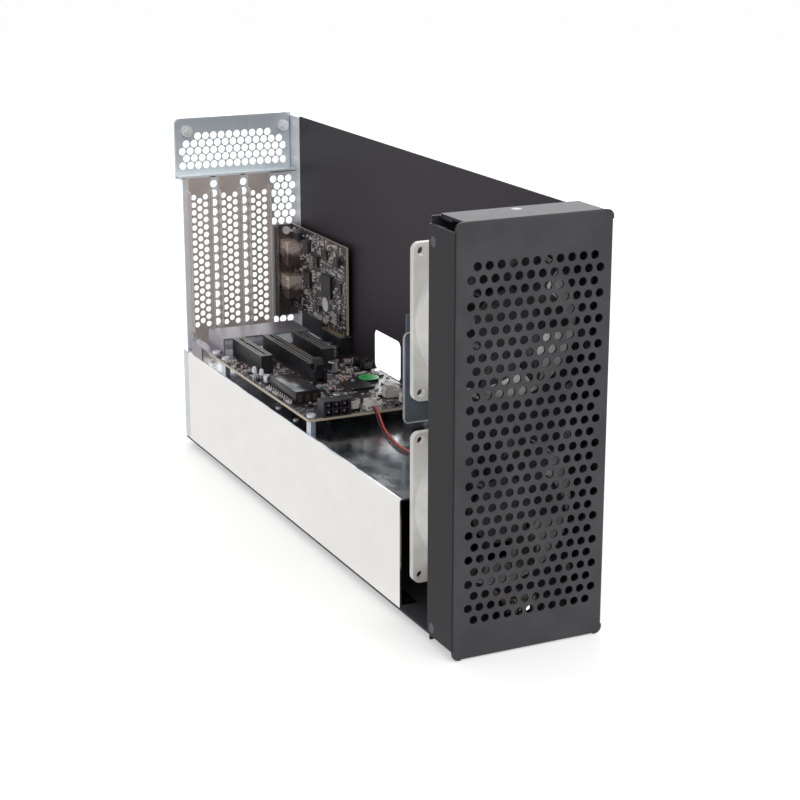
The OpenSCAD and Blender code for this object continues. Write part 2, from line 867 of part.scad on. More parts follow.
module deck_studs() {
    color("#b9bbbd") placed() {
        for (share = stud_shares) {
            translate([stud_x, board_front_y + share * board_l, deck_z]) cylinder(h = stud_h, r = stud_r);
        }
    }
}

// The rear panel's outline with every opening that goes through it
module rear_outline() {
    row_h = panel_hex_pitch * sin(60);
    field_z = bracket_top_z + row_h * panel_row_share;
    field_rows = floor((seat_z - panel_field_top_in - panel_hole_d / 2 - field_z) / row_h);
    difference() {
        union() {
            translate([box_side_x, base_top_z]) square([-2 * box_side_x, deck_z - base_top_z]);
            translate([panel_left_x, deck_z]) square([-box_side_x - panel_left_x, seat_z - deck_z]);
        }
        for (i = [0 : 2]) {
            translate([cover_x + i * slot_pitch - panel_window_w / 2, panel_window_z]) {
                square([panel_window_w, seat_z - panel_window_top_in - panel_window_z]);
            }
        }
        for (i = [0 : 1], z = [panel_window_z + panel_hole_d / 2 : panel_web_pitch :
            seat_z - panel_field_top_in - panel_hole_d / 2]) {
            translate([cover_x + (i + 0.5) * slot_pitch, z]) circle(d = panel_hole_d);
        }
        for (row = [0 : field_rows], i = [0 : panel_hex_cols - 1]) {
            translate([bracket_x + (i + (row % 2) / 2) * panel_hex_pitch, field_z + row * row_h]) {
                circle(d = panel_hole_d);
            }
        }
        for (i = [0 : panel_hex_cols - 1]) {
            translate([bracket_x + i * panel_hex_pitch, bracket_low_z - row_h * panel_row_share]) {
                circle(d = panel_hole_d);
            }
        }
        translate([bracket_x + sheet_t * 2, bracket_low_z + port_h / 2]) {
            square([bracket_right_x - bracket_x - sheet_t * 4, bracket_top_z - bracket_low_z - port_h]);
        }
        translate([supply_fan_x, supply_mid_z]) circle(d = psu_fan_size * fan_bore_share);
        translate([inlet_x - inlet_w / 2, supply_mid_z - inlet_h / 2]) square([inlet_w, inlet_h]);
        at_supply_holes() circle(screw_r + screw_gap);
        at_bracket_screw() circle(screw_r + screw_gap);
    }
}

// Places something at the supply's fan screws, in x and z
module at_supply_holes() {
    for (i = [-1, 1], k = [-1, 1]) {
        translate([supply_fan_x + i * psu_fan_size * supply_hole_share / 2,
            supply_mid_z + k * psu_fan_size * supply_hole_share / 2]) children();
    }
}

// Places something at the host bracket's screw, in x and z
module at_bracket_screw() {
    translate([(bracket_x + bracket_right_x) / 2, bracket_top_z - screw_head_r - over]) children();
}

module rear_panel() {
    right = -box_side_x;
    retainer_corner = arc_pts(retainer_x + retainer_r, retainer_top_z - retainer_r, retainer_r, 90, 180);
    color("#c9cacb") placed() {
        difference() {
            union() {
                across(chassis_d, sheet_t) rear_outline();
                for (x = [box_side_x, right - sheet_t]) {
                    block([x, flange_y, base_top_z], [x + sheet_t, chassis_d, deck_z]);
                }
                block([right - sheet_t, flange_y, deck_z], [right, chassis_d, seat_z]);
                block([right - sheet_t, flange_y, seat_z], [right, frame_y + sheet_t, strip_top_z]);
                block([panel_left_x, panel_rear_y, seat_z - sheet_t], [right, frame_y + sheet_t, seat_z]);
                across(frame_y, sheet_t) difference() {
                    polygon(concat([[retainer_x, seat_z - sheet_t], [right, seat_z - sheet_t],
                        [right, retainer_top_z]], retainer_corner));
                    translate([retainer_x + frame_bar, frame_window_z]) {
                        square([retainer_w - 2 * frame_bar, frame_window_top_z - frame_window_z]);
                    }
                    translate([retainer_mid_x - frame_step_w / 2, frame_window_z]) {
                        square([frame_step_w, frame_window_top_z + frame_step_h - frame_window_z]);
                    }
                }
            }
            for (z = [seat_z + strip_hole_in[0], strip_top_z - strip_hole_in[1]]) {
                rod_x(right - sheet_t - over, strip_hole_y, z, strip_hole_d / 2, sheet_t + 2 * over);
            }
            for (x = thumb_xs) {
                rod_y(x, frame_y - over, thumb_z, shank_d / 2 + shank_gap, sheet_t + 2 * over);
            }
        }
    }
}

// One perforated slot cover about x = 0, with side lips, tongue and top tab
module slot_cover() {
    outer_top = cover_row_z + (cover_rows - 1) * cover_rows_pitch;
    front = chassis_d - cover_t;
    across(front, cover_t) difference() {
        union() {
            translate([-cover_w / 2, cover_low_z]) square([cover_w, seat_z + cover_t - cover_low_z]);
            translate([-cover_tongue_w / 2, cover_tongue_z]) {
                square([cover_tongue_w, cover_low_z - cover_tongue_z]);
            }
        }
        for (col = [-1, 0, 1], row = [0 : cover_rows - 1 - (1 - abs(col))]) {
            translate([col * cover_cols_pitch,
                cover_row_z + (row + (1 - abs(col)) / 2) * cover_rows_pitch]) circle(d = cover_hole_d);
        }
    }
    for (side = [0, 1]) mirror([side, 0, 0]) {
        block([cover_w / 2 - cover_t, front - cover_lip, cover_low_z + cover_lip],
            [cover_w / 2, front, outer_top + cover_lip]);
    }
    block([-cover_tab_w / 2, chassis_d, seat_z], [cover_tab_w / 2, frame_y, seat_z + cover_t]);
}

module slot_cover_at(i) {
    color("#7f736c") placed() translate([cover_x + i * slot_pitch, 0, 0]) slot_cover();
}

module slot_cover_1() {
    slot_cover_at(0);
}

module slot_cover_2() {
    slot_cover_at(1);
}

module slot_cover_3() {
    slot_cover_at(2);
}

module retainer_plate() {
    low = seat_z + cover_t;
    right = retainer_x + retainer_w;
    color("#6f777c") placed() {
        across(retainer_y, sheet_t) difference() {
            polygon(concat(
                arc_pts(right - retainer_r, retainer_top_z - retainer_r, retainer_r, 0, 90),
                arc_pts(retainer_x + retainer_r, retainer_top_z - retainer_r, retainer_r, 90, 180),
                [[retainer_x, low], [right, low]]));
            for (row = [0 : len(retainer_counts) - 1]) {
                n = retainer_counts[row];
                for (i = [0 : n - 1]) {
                    translate([retainer_mid_x + (i - (n - 1) / 2) * panel_hex_pitch,
                        seat_z + retainer_row_shares[row] * retainer_h]) circle(d = panel_hole_d);
                }
            }
            for (x = thumb_xs) translate([x, thumb_z]) circle(shank_d / 2 + shank_gap);
        }
        block([retainer_x, chassis_d - cover_t, low], [right, retainer_y, low + sheet_t]);
    }
}

// Press-in nuts on the front of the retainer plate
module thumb_nuts() {
    color("#d4d6d8") placed() {
        for (x = thumb_xs) difference() {
            rod_y(x, retainer_y - nut_h, thumb_z, nut_r, nut_h);
            rod_y(x, retainer_y - nut_h - over, thumb_z, shank_d / 2 + shank_gap, nut_h + 2 * over);
        }
    }
}

// A knurled thumbscrew: knob behind the frame, shank through to the nut
module thumbscrew(x) {
    knob_y = frame_y + sheet_t + washer_t;
    color("#d9dadb") placed() {
        difference() {
            rod_y(x, knob_y, thumb_z, thumb_d / 2, knob_l);
            for (i = [0 : knurls - 1]) {
                a = i * 360 / knurls;
                rod_y(x + thumb_d / 2 * cos(a), knob_y - over, thumb_z + thumb_d / 2 * sin(a), knurl_r,
                    knob_l + 2 * over, $fn = 6);
            }
        }
        rod_y(x, retainer_y - nut_h - over, thumb_z, shank_d / 2, knob_y - retainer_y + nut_h + over);
    }
}

module thumbscrew_left() {
    thumbscrew(thumb_xs[0]);
}

module thumbscrew_right() {
    thumbscrew(thumb_xs[1]);
}

module thumb_washer(x) {
    color("#bfc1c3") placed() difference() {
        rod_y(x, frame_y + sheet_t, thumb_z, thumb_d / 2, washer_t);
        rod_y(x, frame_y, thumb_z, shank_d / 2 + shank_gap, sheet_t + washer_t + over);
    }
}

module thumb_washer_left() {
    thumb_washer(thumb_xs[0]);
}

module thumb_washer_right() {
    thumb_washer(thumb_xs[1]);
}

// The power supply: a sheet case inside the power box, open to the fans through slots
module supply_case() {
    slot_step = psu_w / (supply_slots + 1);
    low = supply_z;
    high = supply_top_z;
    front = chassis_d - psu_l;
    color("#a4a7a9") placed() difference() {
        block([supply_x, front, low], [supply_x + psu_w, chassis_d, high]);
        block([supply_x + supply_wall, front + supply_wall, low + supply_wall],
            [supply_x + psu_w - supply_wall, chassis_d - supply_wall, high - supply_wall]);
        for (i = [1 : supply_slots]) {
            translate([supply_x + i * slot_step - supply_slot_w / 2, front - over, low + slot_step]) {
                cube([supply_slot_w, 2 * over + supply_wall, high - low - 2 * slot_step]);
            }
        }
        across(chassis_d - 2 * over, 3 * over) translate([supply_fan_x, supply_mid_z]) {
            circle(d = psu_fan_size * fan_bore_share);
        }
        block([inlet_x - inlet_w / 2, chassis_d - 2 * over, supply_mid_z - inlet_h / 2],
            [inlet_x + inlet_w / 2, chassis_d + over, supply_mid_z + inlet_h / 2]);
        across(chassis_d - 2 * over, 3 * over) at_supply_holes() circle(screw_r + screw_gap);
    }
}

// The supply's circuit board with its large parts standing on it
module supply_board() {
    low = supply_z + supply_wall;
    top = low + supply_board_lift + board_t;
    front = chassis_d - psu_l + supply_board_front;
    rear = chassis_d - psu_fan_d - supply_board_rear;
    left = supply_x + supply_board_side;
    right = supply_x + psu_w - supply_board_side;
    sink_x = [left + supply_sink_in, right - supply_sink_in - supply_sink_t];
    color("#5d6a44") placed() {
        block([left, front, low + supply_board_lift], [right, rear, top]);
        for (x = [left, right - 2 * supply_post_r], y = [front, rear - 2 * supply_post_r]) {
            translate([x + supply_post_r, y + supply_post_r, low]) {
                cylinder(h = supply_board_lift, r = supply_post_r);
            }
        }
        for (x = sink_x) {
            block([x, front + supply_sink_front, top],
                [x + supply_sink_t, rear - supply_sink_rear, top + supply_sink_h]);
        }
        translate([left + supply_coil_in.x, front + supply_coil_in.y, top]) cube(supply_coil);
        for (i = [0 : supply_cans - 1]) {
            translate([left + supply_can_in.x + i * supply_can_pitch, front + supply_can_in.y, top]) {
                cylinder(h = supply_can[1], r = supply_can[0]);
            }
        }
        translate([left + supply_drum_in.x, front + supply_drum_in.y, top]) {
            cylinder(h = supply_drum[1], r = supply_drum[0]);
        }
    }
}

module at_supply_fan() {
    placed() translate([supply_fan_x, chassis_d - supply_wall - psu_fan_d, supply_mid_z]) children();
}

module supply_fan_frame() {
    color("#2a2b2c") at_supply_fan() fan_frame(psu_fan_size, psu_fan_d, supply_hole_share,
        2 * (screw_r + screw_gap));
}

module supply_fan_rotor() {
    color("#1f2021") at_supply_fan() fan_rotor(psu_fan_size, psu_fan_d);
}

// A wire guard on the rear panel: rings on two straight wires, held at the fan's corners
module supply_fan_guard() {
    y = panel_rear_y;
    eye = screw_head_r + guard_wire / 2;
    step = psu_fan_size * fan_bore_share / 2 / guard_rings;
    arm = psu_fan_size * supply_hole_share * sqrt(2) / 2;
    color("#b8babc") placed() {
        difference() {
            union() {
                for (i = [1 : guard_rings]) {
                    translate([supply_fan_x, y + guard_lift + guard_wire / 2, supply_mid_z]) {
                        rotate([90, 0, 0]) rotate_extrude() {
                            translate([i * step - guard_wire / 2, 0]) square(guard_wire, center = true);
                        }
                    }
                }
                for (turn = [45, 135]) {
                    translate([supply_fan_x, y, supply_mid_z]) rotate([0, turn, 0]) {
                        block([-arm, 0, -guard_wire / 2], [arm, guard_wire, guard_wire / 2]);
                    }
                }
                across(y, guard_wire) at_supply_holes() circle(eye);
            }
            across(y - over, guard_wire * 3) at_supply_holes() circle(screw_r + screw_gap);
        }
    }
}

module mains_inlet() {
    front = panel_rear_y - inlet_d;
    rear = panel_rear_y + inlet_flange_t;
    color("#1b1b1c") placed() difference() {
        union() {
            across(panel_rear_y, inlet_flange_t) round_rect(
                [inlet_x - inlet_flange_w / 2, supply_mid_z - inlet_flange_h / 2],
                [inlet_x + inlet_flange_w / 2, supply_mid_z + inlet_flange_h / 2], inlet_r);
            across(front, inlet_d) square_at(inlet_w - side_gap, inlet_h - side_gap);
        }
        across(front + inlet_wall, rear - front) difference() {
            square_at(inlet_w - 2 * inlet_wall, inlet_h - 2 * inlet_wall);
            for (side = [-1, 1]) {
                translate([inlet_x - inlet_w / 2 + inlet_wall, supply_mid_z + side * inlet_h / 2]) {
                    rotate(45) square(2 * inlet_r, center = true);
                }
            }
        }
    }
}

// A rectangle about the mains inlet's middle
module square_at(w, h) {
    translate([inlet_x - w / 2, supply_mid_z - h / 2]) square([w, h]);
}

module inlet_pins() {
    front = panel_rear_y - inlet_d + inlet_wall;
    color("#c8b27a") placed() {
        for (k = [-1, 0, 1]) {
            shift = (k == 0 ? 1 : -1) * pin_w;
            block([inlet_x + shift - pin_h / 2, front, supply_mid_z + k * pin_gap - pin_w / 2],
                [inlet_x + shift + pin_h / 2, front + pin_l, supply_mid_z + k * pin_gap + pin_w / 2]);
        }
    }
}

// Screws of the supply's fan and guard, from behind, and the host bracket's screw
module panel_screws() {
    color("#cfd0d2") placed() {
        translate([0, panel_rear_y + guard_wire, 0]) rotate([90, 0, 0]) at_supply_holes() {
            rotate([180, 0, 0]) pan_screw(screw_l - over / 2);
        }
        translate([0, chassis_d - sheet_t, 0]) rotate([90, 0, 0]) at_bracket_screw() {
            pan_screw(screw_l / 2);
        }
    }
}

module backplane_board() {
    color("#3a3530") placed() level(board_z, board_t) difference() {
        translate([board_x, board_front_y]) square([board_w, board_l]);
        at_standoffs() circle(screw_r + screw_gap);
    }
}

// Places something at each standoff, in x and y
module at_standoffs() {
    for (p = [[0, 0], [2, 0], [2, 1], [0, 2], [1, 2]]) {
        translate([board_x + standoff_x_shares[p[0]] * board_w,
            board_front_y + standoff_y_shares[p[1]] * board_l]) children();
    }
}

module standoffs() {
    color("#c3b68c") placed() {
        at_standoffs() translate([0, 0, deck_z]) difference() {
            cylinder(h = standoff_h, r = standoff_r, $fn = 6);
            translate([0, 0, standoff_h - screw_l]) cylinder(h = screw_l + over, r = screw_r + screw_gap);
        }
    }
}

module board_screws() {
    color("#c9cbcd") placed() {
        at_standoffs() translate([0, 0, board_top_z]) pan_screw(screw_l);
    }
}

// A card slot about x = 0, with its groove, and with a key across it near the rear
module slot(l) {
    front = slot_rear_y - l;
    difference() {
        block([-slot_w / 2, front, board_top_z], [slot_w / 2, slot_rear_y, board_top_z + slot_h]);
        difference() {
            block([-groove_w / 2, front + slot_end, board_top_z + slot_h - groove_h],
                [groove_w / 2, slot_rear_y - slot_end, board_top_z + slot_h + over]);
            block([-slot_w, slot_rear_y - slot_key_y - slot_key_w, board_top_z],
                [slot_w, slot_rear_y - slot_key_y, board_top_z + slot_h]);
        }
    }
}

module slot_1() {
    color("#232325") placed() translate([slot_xs[0], 0, 0]) slot(slot_short);
}

// The long slot, with two ears at its front that carry the latch
module slot_2() {
    ear_y = slot_rear_y - slot_long;
    color("#232325") placed() difference() {
        translate([slot_xs[1], 0, 0]) union() {
            slot(slot_long);
            for (side = [0, 1]) mirror([side, 0, 0]) {
                block([latch_w / 2 + ear_gap, ear_y - ear_l, board_top_z],
                    [latch_w / 2 + ear_gap + ear_t, ear_y, board_top_z + ear_h]);
            }
        }
        rod_x(slot_xs[1] - slot_w, ear_y - latch_set, board_top_z + latch_lift, latch_r + latch_play,
            2 * slot_w);
    }
}

module slot_3() {
    color("#232325") placed() translate([slot_xs[2], 0, 0]) slot(slot_short);
}

module host_slot() {
    color("#232325") placed() translate([slot_xs[3], 0, 0]) difference() {
        block([-slot_w / 2, slot_rear_y - host_slot_l, board_top_z],
            [slot_w / 2, slot_rear_y, board_top_z + slot_h]);
        block([-groove_w / 2, slot_rear_y - host_slot_l + slot_end, board_top_z + slot_h - groove_h],
            [groove_w / 2, slot_rear_y - slot_end, board_top_z + slot_h + over]);
    }
}

// The retention latch: a lever on a pin, with a hook over the slot
module slot_latch() {
    x = slot_xs[1];
    y = slot_rear_y - slot_long - latch_set;
    z = board_top_z + latch_lift;
    top = board_top_z + latch_top;
    pin_out = latch_w / 2 + ear_gap + ear_t;
    color("#1a1a1c") placed() {
        along(x - latch_w / 2, latch_w) polygon([
            [y - latch_t / 2, z - latch_t / 2], [y + latch_t / 2, z - latch_t / 2],
            [y + latch_t / 2, top - latch_t], [y + latch_t, top - latch_t], [y + latch_t, top],
            [y - latch_t / 2, top], [y - latch_t, top - latch_t], [y - latch_t / 2, top - 2 * latch_t]]);
        rod_x(x - pin_out, y, z, latch_r, 2 * pin_out);
    }
}

// The zinc plate that bridges the board behind the slots
module bridging_plate() {
    y = bridge_y;
    color("#c4c6c8") placed() difference() {
        union() {
            block([bridge_x, y, bridge_z - zinc_t], [bridge_right_x, y + bridge_d, bridge_z]);
            for (x = [bridge_x, bridge_right_x - zinc_t]) {
                block([x, y, board_top_z], [x + zinc_t, y + bridge_d, bridge_z - zinc_t]);
            }
            block([bridge_foot_x, y, board_top_z], [bridge_x, y + bridge_foot_d, board_top_z + zinc_t]);
            block([bridge_foot_x, y + bridge_foot_d - bridge_leg_d, deck_z],
                [bridge_foot_x + zinc_t, y + bridge_foot_d, board_top_z]);
        }
        at_bridge_screws() cylinder(h = screw_l, r = screw_r + screw_gap, center = true);
    }
}

module at_bridge_screws() {
    translate([(bridge_foot_x + bridge_x) / 2, bridge_y + pan_r * 2, board_top_z + zinc_t]) children();
}

module bridge_screws() {
    color("#d0d2d4") placed() at_bridge_screws() pan_screw(zinc_t);
}

// The six-way power connector at the board's front edge
module power_connector() {
    step = connector_cell + connector_wall;
    mid_x = connector_x + connector_w / 2;
    color("#1c1c1e") placed() difference() {
        block([connector_x, connector_y, board_top_z],
            [connector_x + connector_w, connector_y + connector_d, board_top_z + connector_h]);
        for (i = [-1, 0, 1], k = [0, 1]) {
            translate([mid_x + i * step - connector_cell / 2, connector_y - over,
                board_top_z + connector_wall + k * connector_cell]) {
                cube([connector_cell, connector_cell_d, connector_cell - connector_wall]);
            }
        }
        translate([mid_x, connector_y + connector_d / 2, board_top_z + connector_h]) {
            cube([connector_cell, connector_d + over, connector_wall], center = true);
        }
    }
}

// A shielded converter block with a rounded lid
module power_module() {
    color("#77797b") placed() {
        level(board_top_z, module_h - lid) round_rect([module_x, module_y],
            [module_x + module_w, module_y + module_l], over);
        level(board_top_z + module_h - lid, lid) round_rect([module_x + lid, module_y + lid],
            [module_x + module_w - lid, module_y + module_l - lid], over);
    }
}

// Puts something on the board at a place given in shares
module on_board(shares) {
    translate([slot_x + shares[0] * slot_pitch, board_front_y + shares[1] * board_free_l, board_top_z]) {
        children();
    }
}

module capacitors() {
    color("#b9bcbe") placed() {
        for (p = can_shares) on_board(p) cylinder(h = p[3] * slot_h, r = p[2] * slot_w);
    }
}

module board_chips() {
    color("#17181a") placed() {
        for (p = chip_shares) on_board(p) cube([p[2], p[3], p[4]] * chip_side);
    }
}

module small_connectors() {
    color("#e6e4df") placed() {
        for (p = header_shares) on_board(p) cube([p[2], p[3], p[4]] * header_l);
    }
}

module fan_plug() {
    color("#efeeea") placed() {
        translate([board_x + plug_in.x, board_front_y + plug_in.y, board_top_z]) cube(plug_size);
    }
}

function unit(v) = v / norm(v);

// The direction of a route at one of its points
function heading(route, i) = unit(route[min(i + 1, len(route) - 1)] - route[max(i - 1, 0)]);

// A ring of points about a point of a route, square to its direction
function ring(route, i, d) = let (
    n = len(route),
    t = i == 0 || i == n - 1 ? [0, sign(route[n - 1].y - route[0].y), 0] : heading(route, i),
    u = unit(cross(t, [0, 0, 1])),
    v = cross(u, t))
    [for (k = [0 : lead_sides - 1]) let (a = k * 360 / lead_sides)
        route[i] + d / 2 * (cos(a) * u + sin(a) * v)];

// A round lead swept along a route, its ends square to y
module lead(route, d) {
    n = len(route);
    points = [for (i = [0 : n - 1]) each ring(route, i, d)];
    sides = [for (i = [0 : n - 2], k = [0 : lead_sides - 1]) let (j = (k + 1) % lead_sides)
        [i * lead_sides + k, i * lead_sides + j, (i + 1) * lead_sides + j, (i + 1) * lead_sides + k]];
    first = [for (k = [lead_sides - 1 : -1 : 0]) k];
    last = [for (k = [0 : lead_sides - 1]) (n - 1) * lead_sides + k];
    polyhedron(points, concat([first], [last], sides), convexity = 6);
}

module fan_lead_red() {
    color("#9c2a22") placed() lead(lead_route, lead_d);
}

module fan_lead_black() {
    color("#1c1a1a") placed() translate([-lead_gap, 0, 0]) lead(lead_route, lead_d);
}

// The black block on the deck, and the gland that its leads go down through
module connector_block() {
    color("#1d1d1f") placed() {
        for (y = [[block_y, block_y + block_d], [gland_y, gland_y + gland_d]]) {
            block([block_x, y[0], deck_z], [block_x + block_w, y[1], deck_z + block_h]);
        }
    }
}

module block_lead_left() {
    color("#b0405a") placed() lead(block_route, lead_d);
}

module block_lead_right() {
    color("#8f2f2a") placed() translate([lead_gap, 0, 0]) lead(block_route, lead_d);
}

// The host card's board, upright, with its edge in the host slot
module host_card_board() {
    color("#2f2a26") placed() along(card_x - board_t / 2, board_t) {
        translate([card_front_y, card_low_z]) {
            square([chassis_d - sheet_t - card_front_y, card_top_z - card_low_z]);
        }
        translate([slot_rear_y - card_tab_in - card_tab_l, card_tab_z]) {
            square([card_tab_l, card_low_z - card_tab_z]);
        }
    }
}

// The host card's bracket, with its port openings and a lip at the left
module host_bracket() {
    front = chassis_d - sheet_t;
    port_x = card_x - board_t / 2 - port_w;
    color("#3a3b3d") placed() {
        across(front, sheet_t) difference() {
            translate([bracket_x, bracket_low_z]) {
                square([bracket_right_x - bracket_x, bracket_top_z - bracket_low_z]);
            }
            for (z = port_zs) {
                translate([port_x + port_rim, z + port_rim]) {
                    square([port_w - 2 * port_rim, port_h - 2 * port_rim]);
                }
            }
            at_bracket_screw() circle(screw_r + screw_gap);
        }
        block([bracket_x, front - cover_lip, bracket_low_z], [bracket_x + sheet_t, front, bracket_top_z]);
    }
}

// Two shielded port shells, open towards the rear
module host_ports() {
    front = chassis_d - sheet_t - port_d;
    right = card_x - board_t / 2;
    color("#c8c9c9") placed() {
        for (z = port_zs) difference() {
            block([right - port_w, front, z], [right, chassis_d - sheet_t, z + port_h]);
            block([right - port_w + port_wall, front + port_d / 3, z + port_wall],
                [right - port_wall, chassis_d, z + port_h - port_wall]);
        }
    }
}

module host_parts() {
    right = card_x - board_t / 2;
    color("#1b1c1e") placed() {
        for (p = card_part_shares) {
            size = [p[4], p[2], p[3]] * card_chip;
            translate([right - size.x, card_front_y + p[0] * card_l, card_low_z + p[1] * card_h]) {
                cube(size);
            }
        }
    }
}

// The black bracket in front of the board, folded at the far wall
module mid_bracket() {
    right = wall_in_x;
    color("#3c454b") placed() difference() {
        union() {
            across(mid_y, sheet_t) {
                round_rect([mid_x, mid_low_z], [right, mid_top_z], corner_r);
                translate([mid_tab_x, mid_top_z - over]) square([mid_tab_w, mid_tab_h + over]);
            }
            block([right - sheet_t, mid_y + sheet_t, mid_low_z + corner_r],
                [right, mid_y + mid_fold, mid_top_z - corner_r]);
        }
        at_mid_screws() cylinder(h = screw_l, r = screw_r + screw_gap, center = true);
    }
}

// Places something at the mid bracket's screws on its fold, pointing away from the wall
module at_mid_screws() {
    for (z = [mid_low_z + 2 * corner_r + pan_r, mid_top_z - 2 * corner_r - pan_r]) {
        translate([wall_in_x - sheet_t, mid_y + mid_fold / 2 + over, z]) rotate([0, -90, 0]) children();
    }
}

module bracket_screws() {
    color("#c9cbcd") placed() at_mid_screws() pan_screw(sheet_t);
}

base_tray();
feet();
far_side_wall();
fan_plate();
front_bezel();
bezel_screws();
indicator_board();
indicator_lamps();
upper_fan_frame();
upper_fan_rotor();
lower_fan_frame();
lower_fan_rotor();
fan_screws();
power_box();
deck_studs();
supply_case();
supply_board();
supply_fan_frame();
supply_fan_rotor();
supply_fan_guard();
mains_inlet();
inlet_pins();
rear_panel();
panel_screws();
slot_cover_1();
slot_cover_2();
slot_cover_3();
retainer_plate();
thumb_nuts();
thumbscrew_left();
thumbscrew_right();
thumb_washer_left();
thumb_washer_right();
backplane_board();
standoffs();
board_screws();
slot_1();
slot_2();
slot_3();
host_slot();
slot_latch();
bridging_plate();
bridge_screws();
power_connector();
power_module();
capacitors();
board_chips();
small_connectors();
fan_plug();
fan_lead_red();
fan_lead_black();
host_card_board();
host_bracket();
host_ports();
host_parts();
mid_bracket();
bracket_screws();
connector_block();
block_lead_left();
block_lead_right();
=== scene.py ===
"""Looks of an open PCIe expansion chassis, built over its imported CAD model."""

import math
import random

import bmesh
import bpy
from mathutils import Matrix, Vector


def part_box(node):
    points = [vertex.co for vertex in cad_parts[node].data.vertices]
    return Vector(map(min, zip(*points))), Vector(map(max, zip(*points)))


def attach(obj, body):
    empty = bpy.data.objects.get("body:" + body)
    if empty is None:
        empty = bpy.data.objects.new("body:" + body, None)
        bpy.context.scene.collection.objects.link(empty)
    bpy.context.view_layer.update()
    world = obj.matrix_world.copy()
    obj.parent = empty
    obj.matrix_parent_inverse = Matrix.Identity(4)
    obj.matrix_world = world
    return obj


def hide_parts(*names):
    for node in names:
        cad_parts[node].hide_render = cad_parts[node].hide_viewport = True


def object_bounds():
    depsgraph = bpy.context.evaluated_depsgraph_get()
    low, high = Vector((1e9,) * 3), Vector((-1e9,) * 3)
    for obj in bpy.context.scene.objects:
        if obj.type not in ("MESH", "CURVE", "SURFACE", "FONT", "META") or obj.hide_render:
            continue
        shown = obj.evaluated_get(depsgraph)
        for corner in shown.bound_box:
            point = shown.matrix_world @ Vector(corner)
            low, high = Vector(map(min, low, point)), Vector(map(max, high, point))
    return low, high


bl_info = {
    "name": "PCIe expansion chassis",
    "version": (1, 0, 0),
    "blender": (4, 5, 0),
    "location": "View3D > Sidebar > Chassis",
    "description": "Sheet metal, fans, boards, slots, leads and stage of an open expansion chassis",
    "category": "Object",
}

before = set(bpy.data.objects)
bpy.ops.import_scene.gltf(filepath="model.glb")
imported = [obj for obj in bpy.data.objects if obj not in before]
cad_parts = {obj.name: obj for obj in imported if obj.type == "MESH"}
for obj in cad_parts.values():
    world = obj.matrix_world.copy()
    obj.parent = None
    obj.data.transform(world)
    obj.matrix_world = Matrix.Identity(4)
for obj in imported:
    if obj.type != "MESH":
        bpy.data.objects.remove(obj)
CAD_BOX = [list(corner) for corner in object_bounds()]
MM = 0.001
HALF_DEPTH = (CAD_BOX[1][1] - CAD_BOX[0][1]) / 2 / MM
# The feet hold the bezel's lower edge this far off the floor, in millimetres
LIFT = 0.4
# A mesh stays sharp where two faces meet at more than this
SOFT_EDGE = math.radians(32)
UP = (0, 0, 1)


def at(x, y, z):
    """A place in millimetres from the bezel's lower edge, as metres in the model's frame."""
    return Vector((x, y - HALF_DEPTH, z + LIFT)) * MM


def span(node):
    """A CAD node's lowest and highest corners, in millimetres from the bezel's lower edge."""
    return [
        Vector((corner.x / MM, corner.y / MM + HALF_DEPTH, corner.z / MM - LIFT))
        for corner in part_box(node)
    ]


# Colour and material basics


def linear(code):
    """An sRGB hex colour as linear red, green and blue."""
    parts = [int(code[i : i + 2], 16) / 255 for i in (1, 3, 5)]
    return tuple(
        p / 12.92 if p <= 0.04045 else ((p + 0.055) / 1.055) ** 2.4 for p in parts
    )


def times(tint, factor):
    """A colour made darker or paler by a factor, as far as full white."""
    return tuple(min(part * factor, 1.0) for part in tint)


def put(tree, kind, inputs=None, **settings):
    """Adds a node: settings are its own, inputs are values or sockets by name or number."""
    made = tree.nodes.new(kind)
    for name, value in settings.items():
        setattr(made, name, value)
    for name, value in (inputs or {}).items():
        if isinstance(value, bpy.types.NodeSocket):
            tree.links.new(value, made.inputs[name])
        else:
            made.inputs[name].default_value = value
    return made


def finish(name, tint, metallic=0.0, roughness=0.5, **sockets):
    """A material with one shader: returns it, its tree, its shader and Object coordinates."""
    made = bpy.data.materials.new(name)
    made.use_nodes = True
    made.diffuse_color = (*tint, 1)
    tree = made.node_tree
    tree.nodes.clear()
    values = {key.replace("_", " "): value for key, value in sockets.items()}
    shader = put(
        tree,
        "ShaderNodeBsdfPrincipled",
        {
            "Base Color": (*tint, 1),
            "Metallic": metallic,
            "Roughness": roughness,
            **values,
        },
    )
    put(tree, "ShaderNodeOutputMaterial", {"Surface": shader.outputs["BSDF"]})
    place = put(tree, "ShaderNodeTexCoord").outputs["Object"]
    return made, tree, shader, place


def grain(tree, place, size, stretch=(1, 1, 1), detail=2.0, roughness=0.5):
    """Noise with features of that many millimetres, drawn out along an axis by its stretch."""
    scale = [1 / (size * MM * s) for s in stretch]
    moved = put(tree, "ShaderNodeMapping", {"Vector": place, "Scale": scale})
    return put(
        tree,
        "ShaderNodeTexNoise",
        {
            "Vector": moved.outputs["Vector"],
            "Scale": 1.0,
            "Detail": detail,
            "Roughness": roughness,
        },
    ).outputs["Fac"]


def cells(tree, face, size, spread=1.0, distance="EUCLIDEAN"):
    """Cells of that many millimetres: how far their middles lie, and each one's own numbers."""
    made = put(
        tree,
        "ShaderNodeTexVoronoi",
        {"Vector": face, "Scale": 1 / (size * MM), "Randomness": spread},
        distance=distance,
    )
    own = put(tree, "ShaderNodeSeparateColor", {"Color": made.outputs["Color"]})
    return made.outputs["Distance"], own.outputs


def part_of(tree, vector, axis):
    """One of a vector's three numbers."""
    return put(tree, "ShaderNodeSeparateXYZ", {"Vector": vector}).outputs[axis]


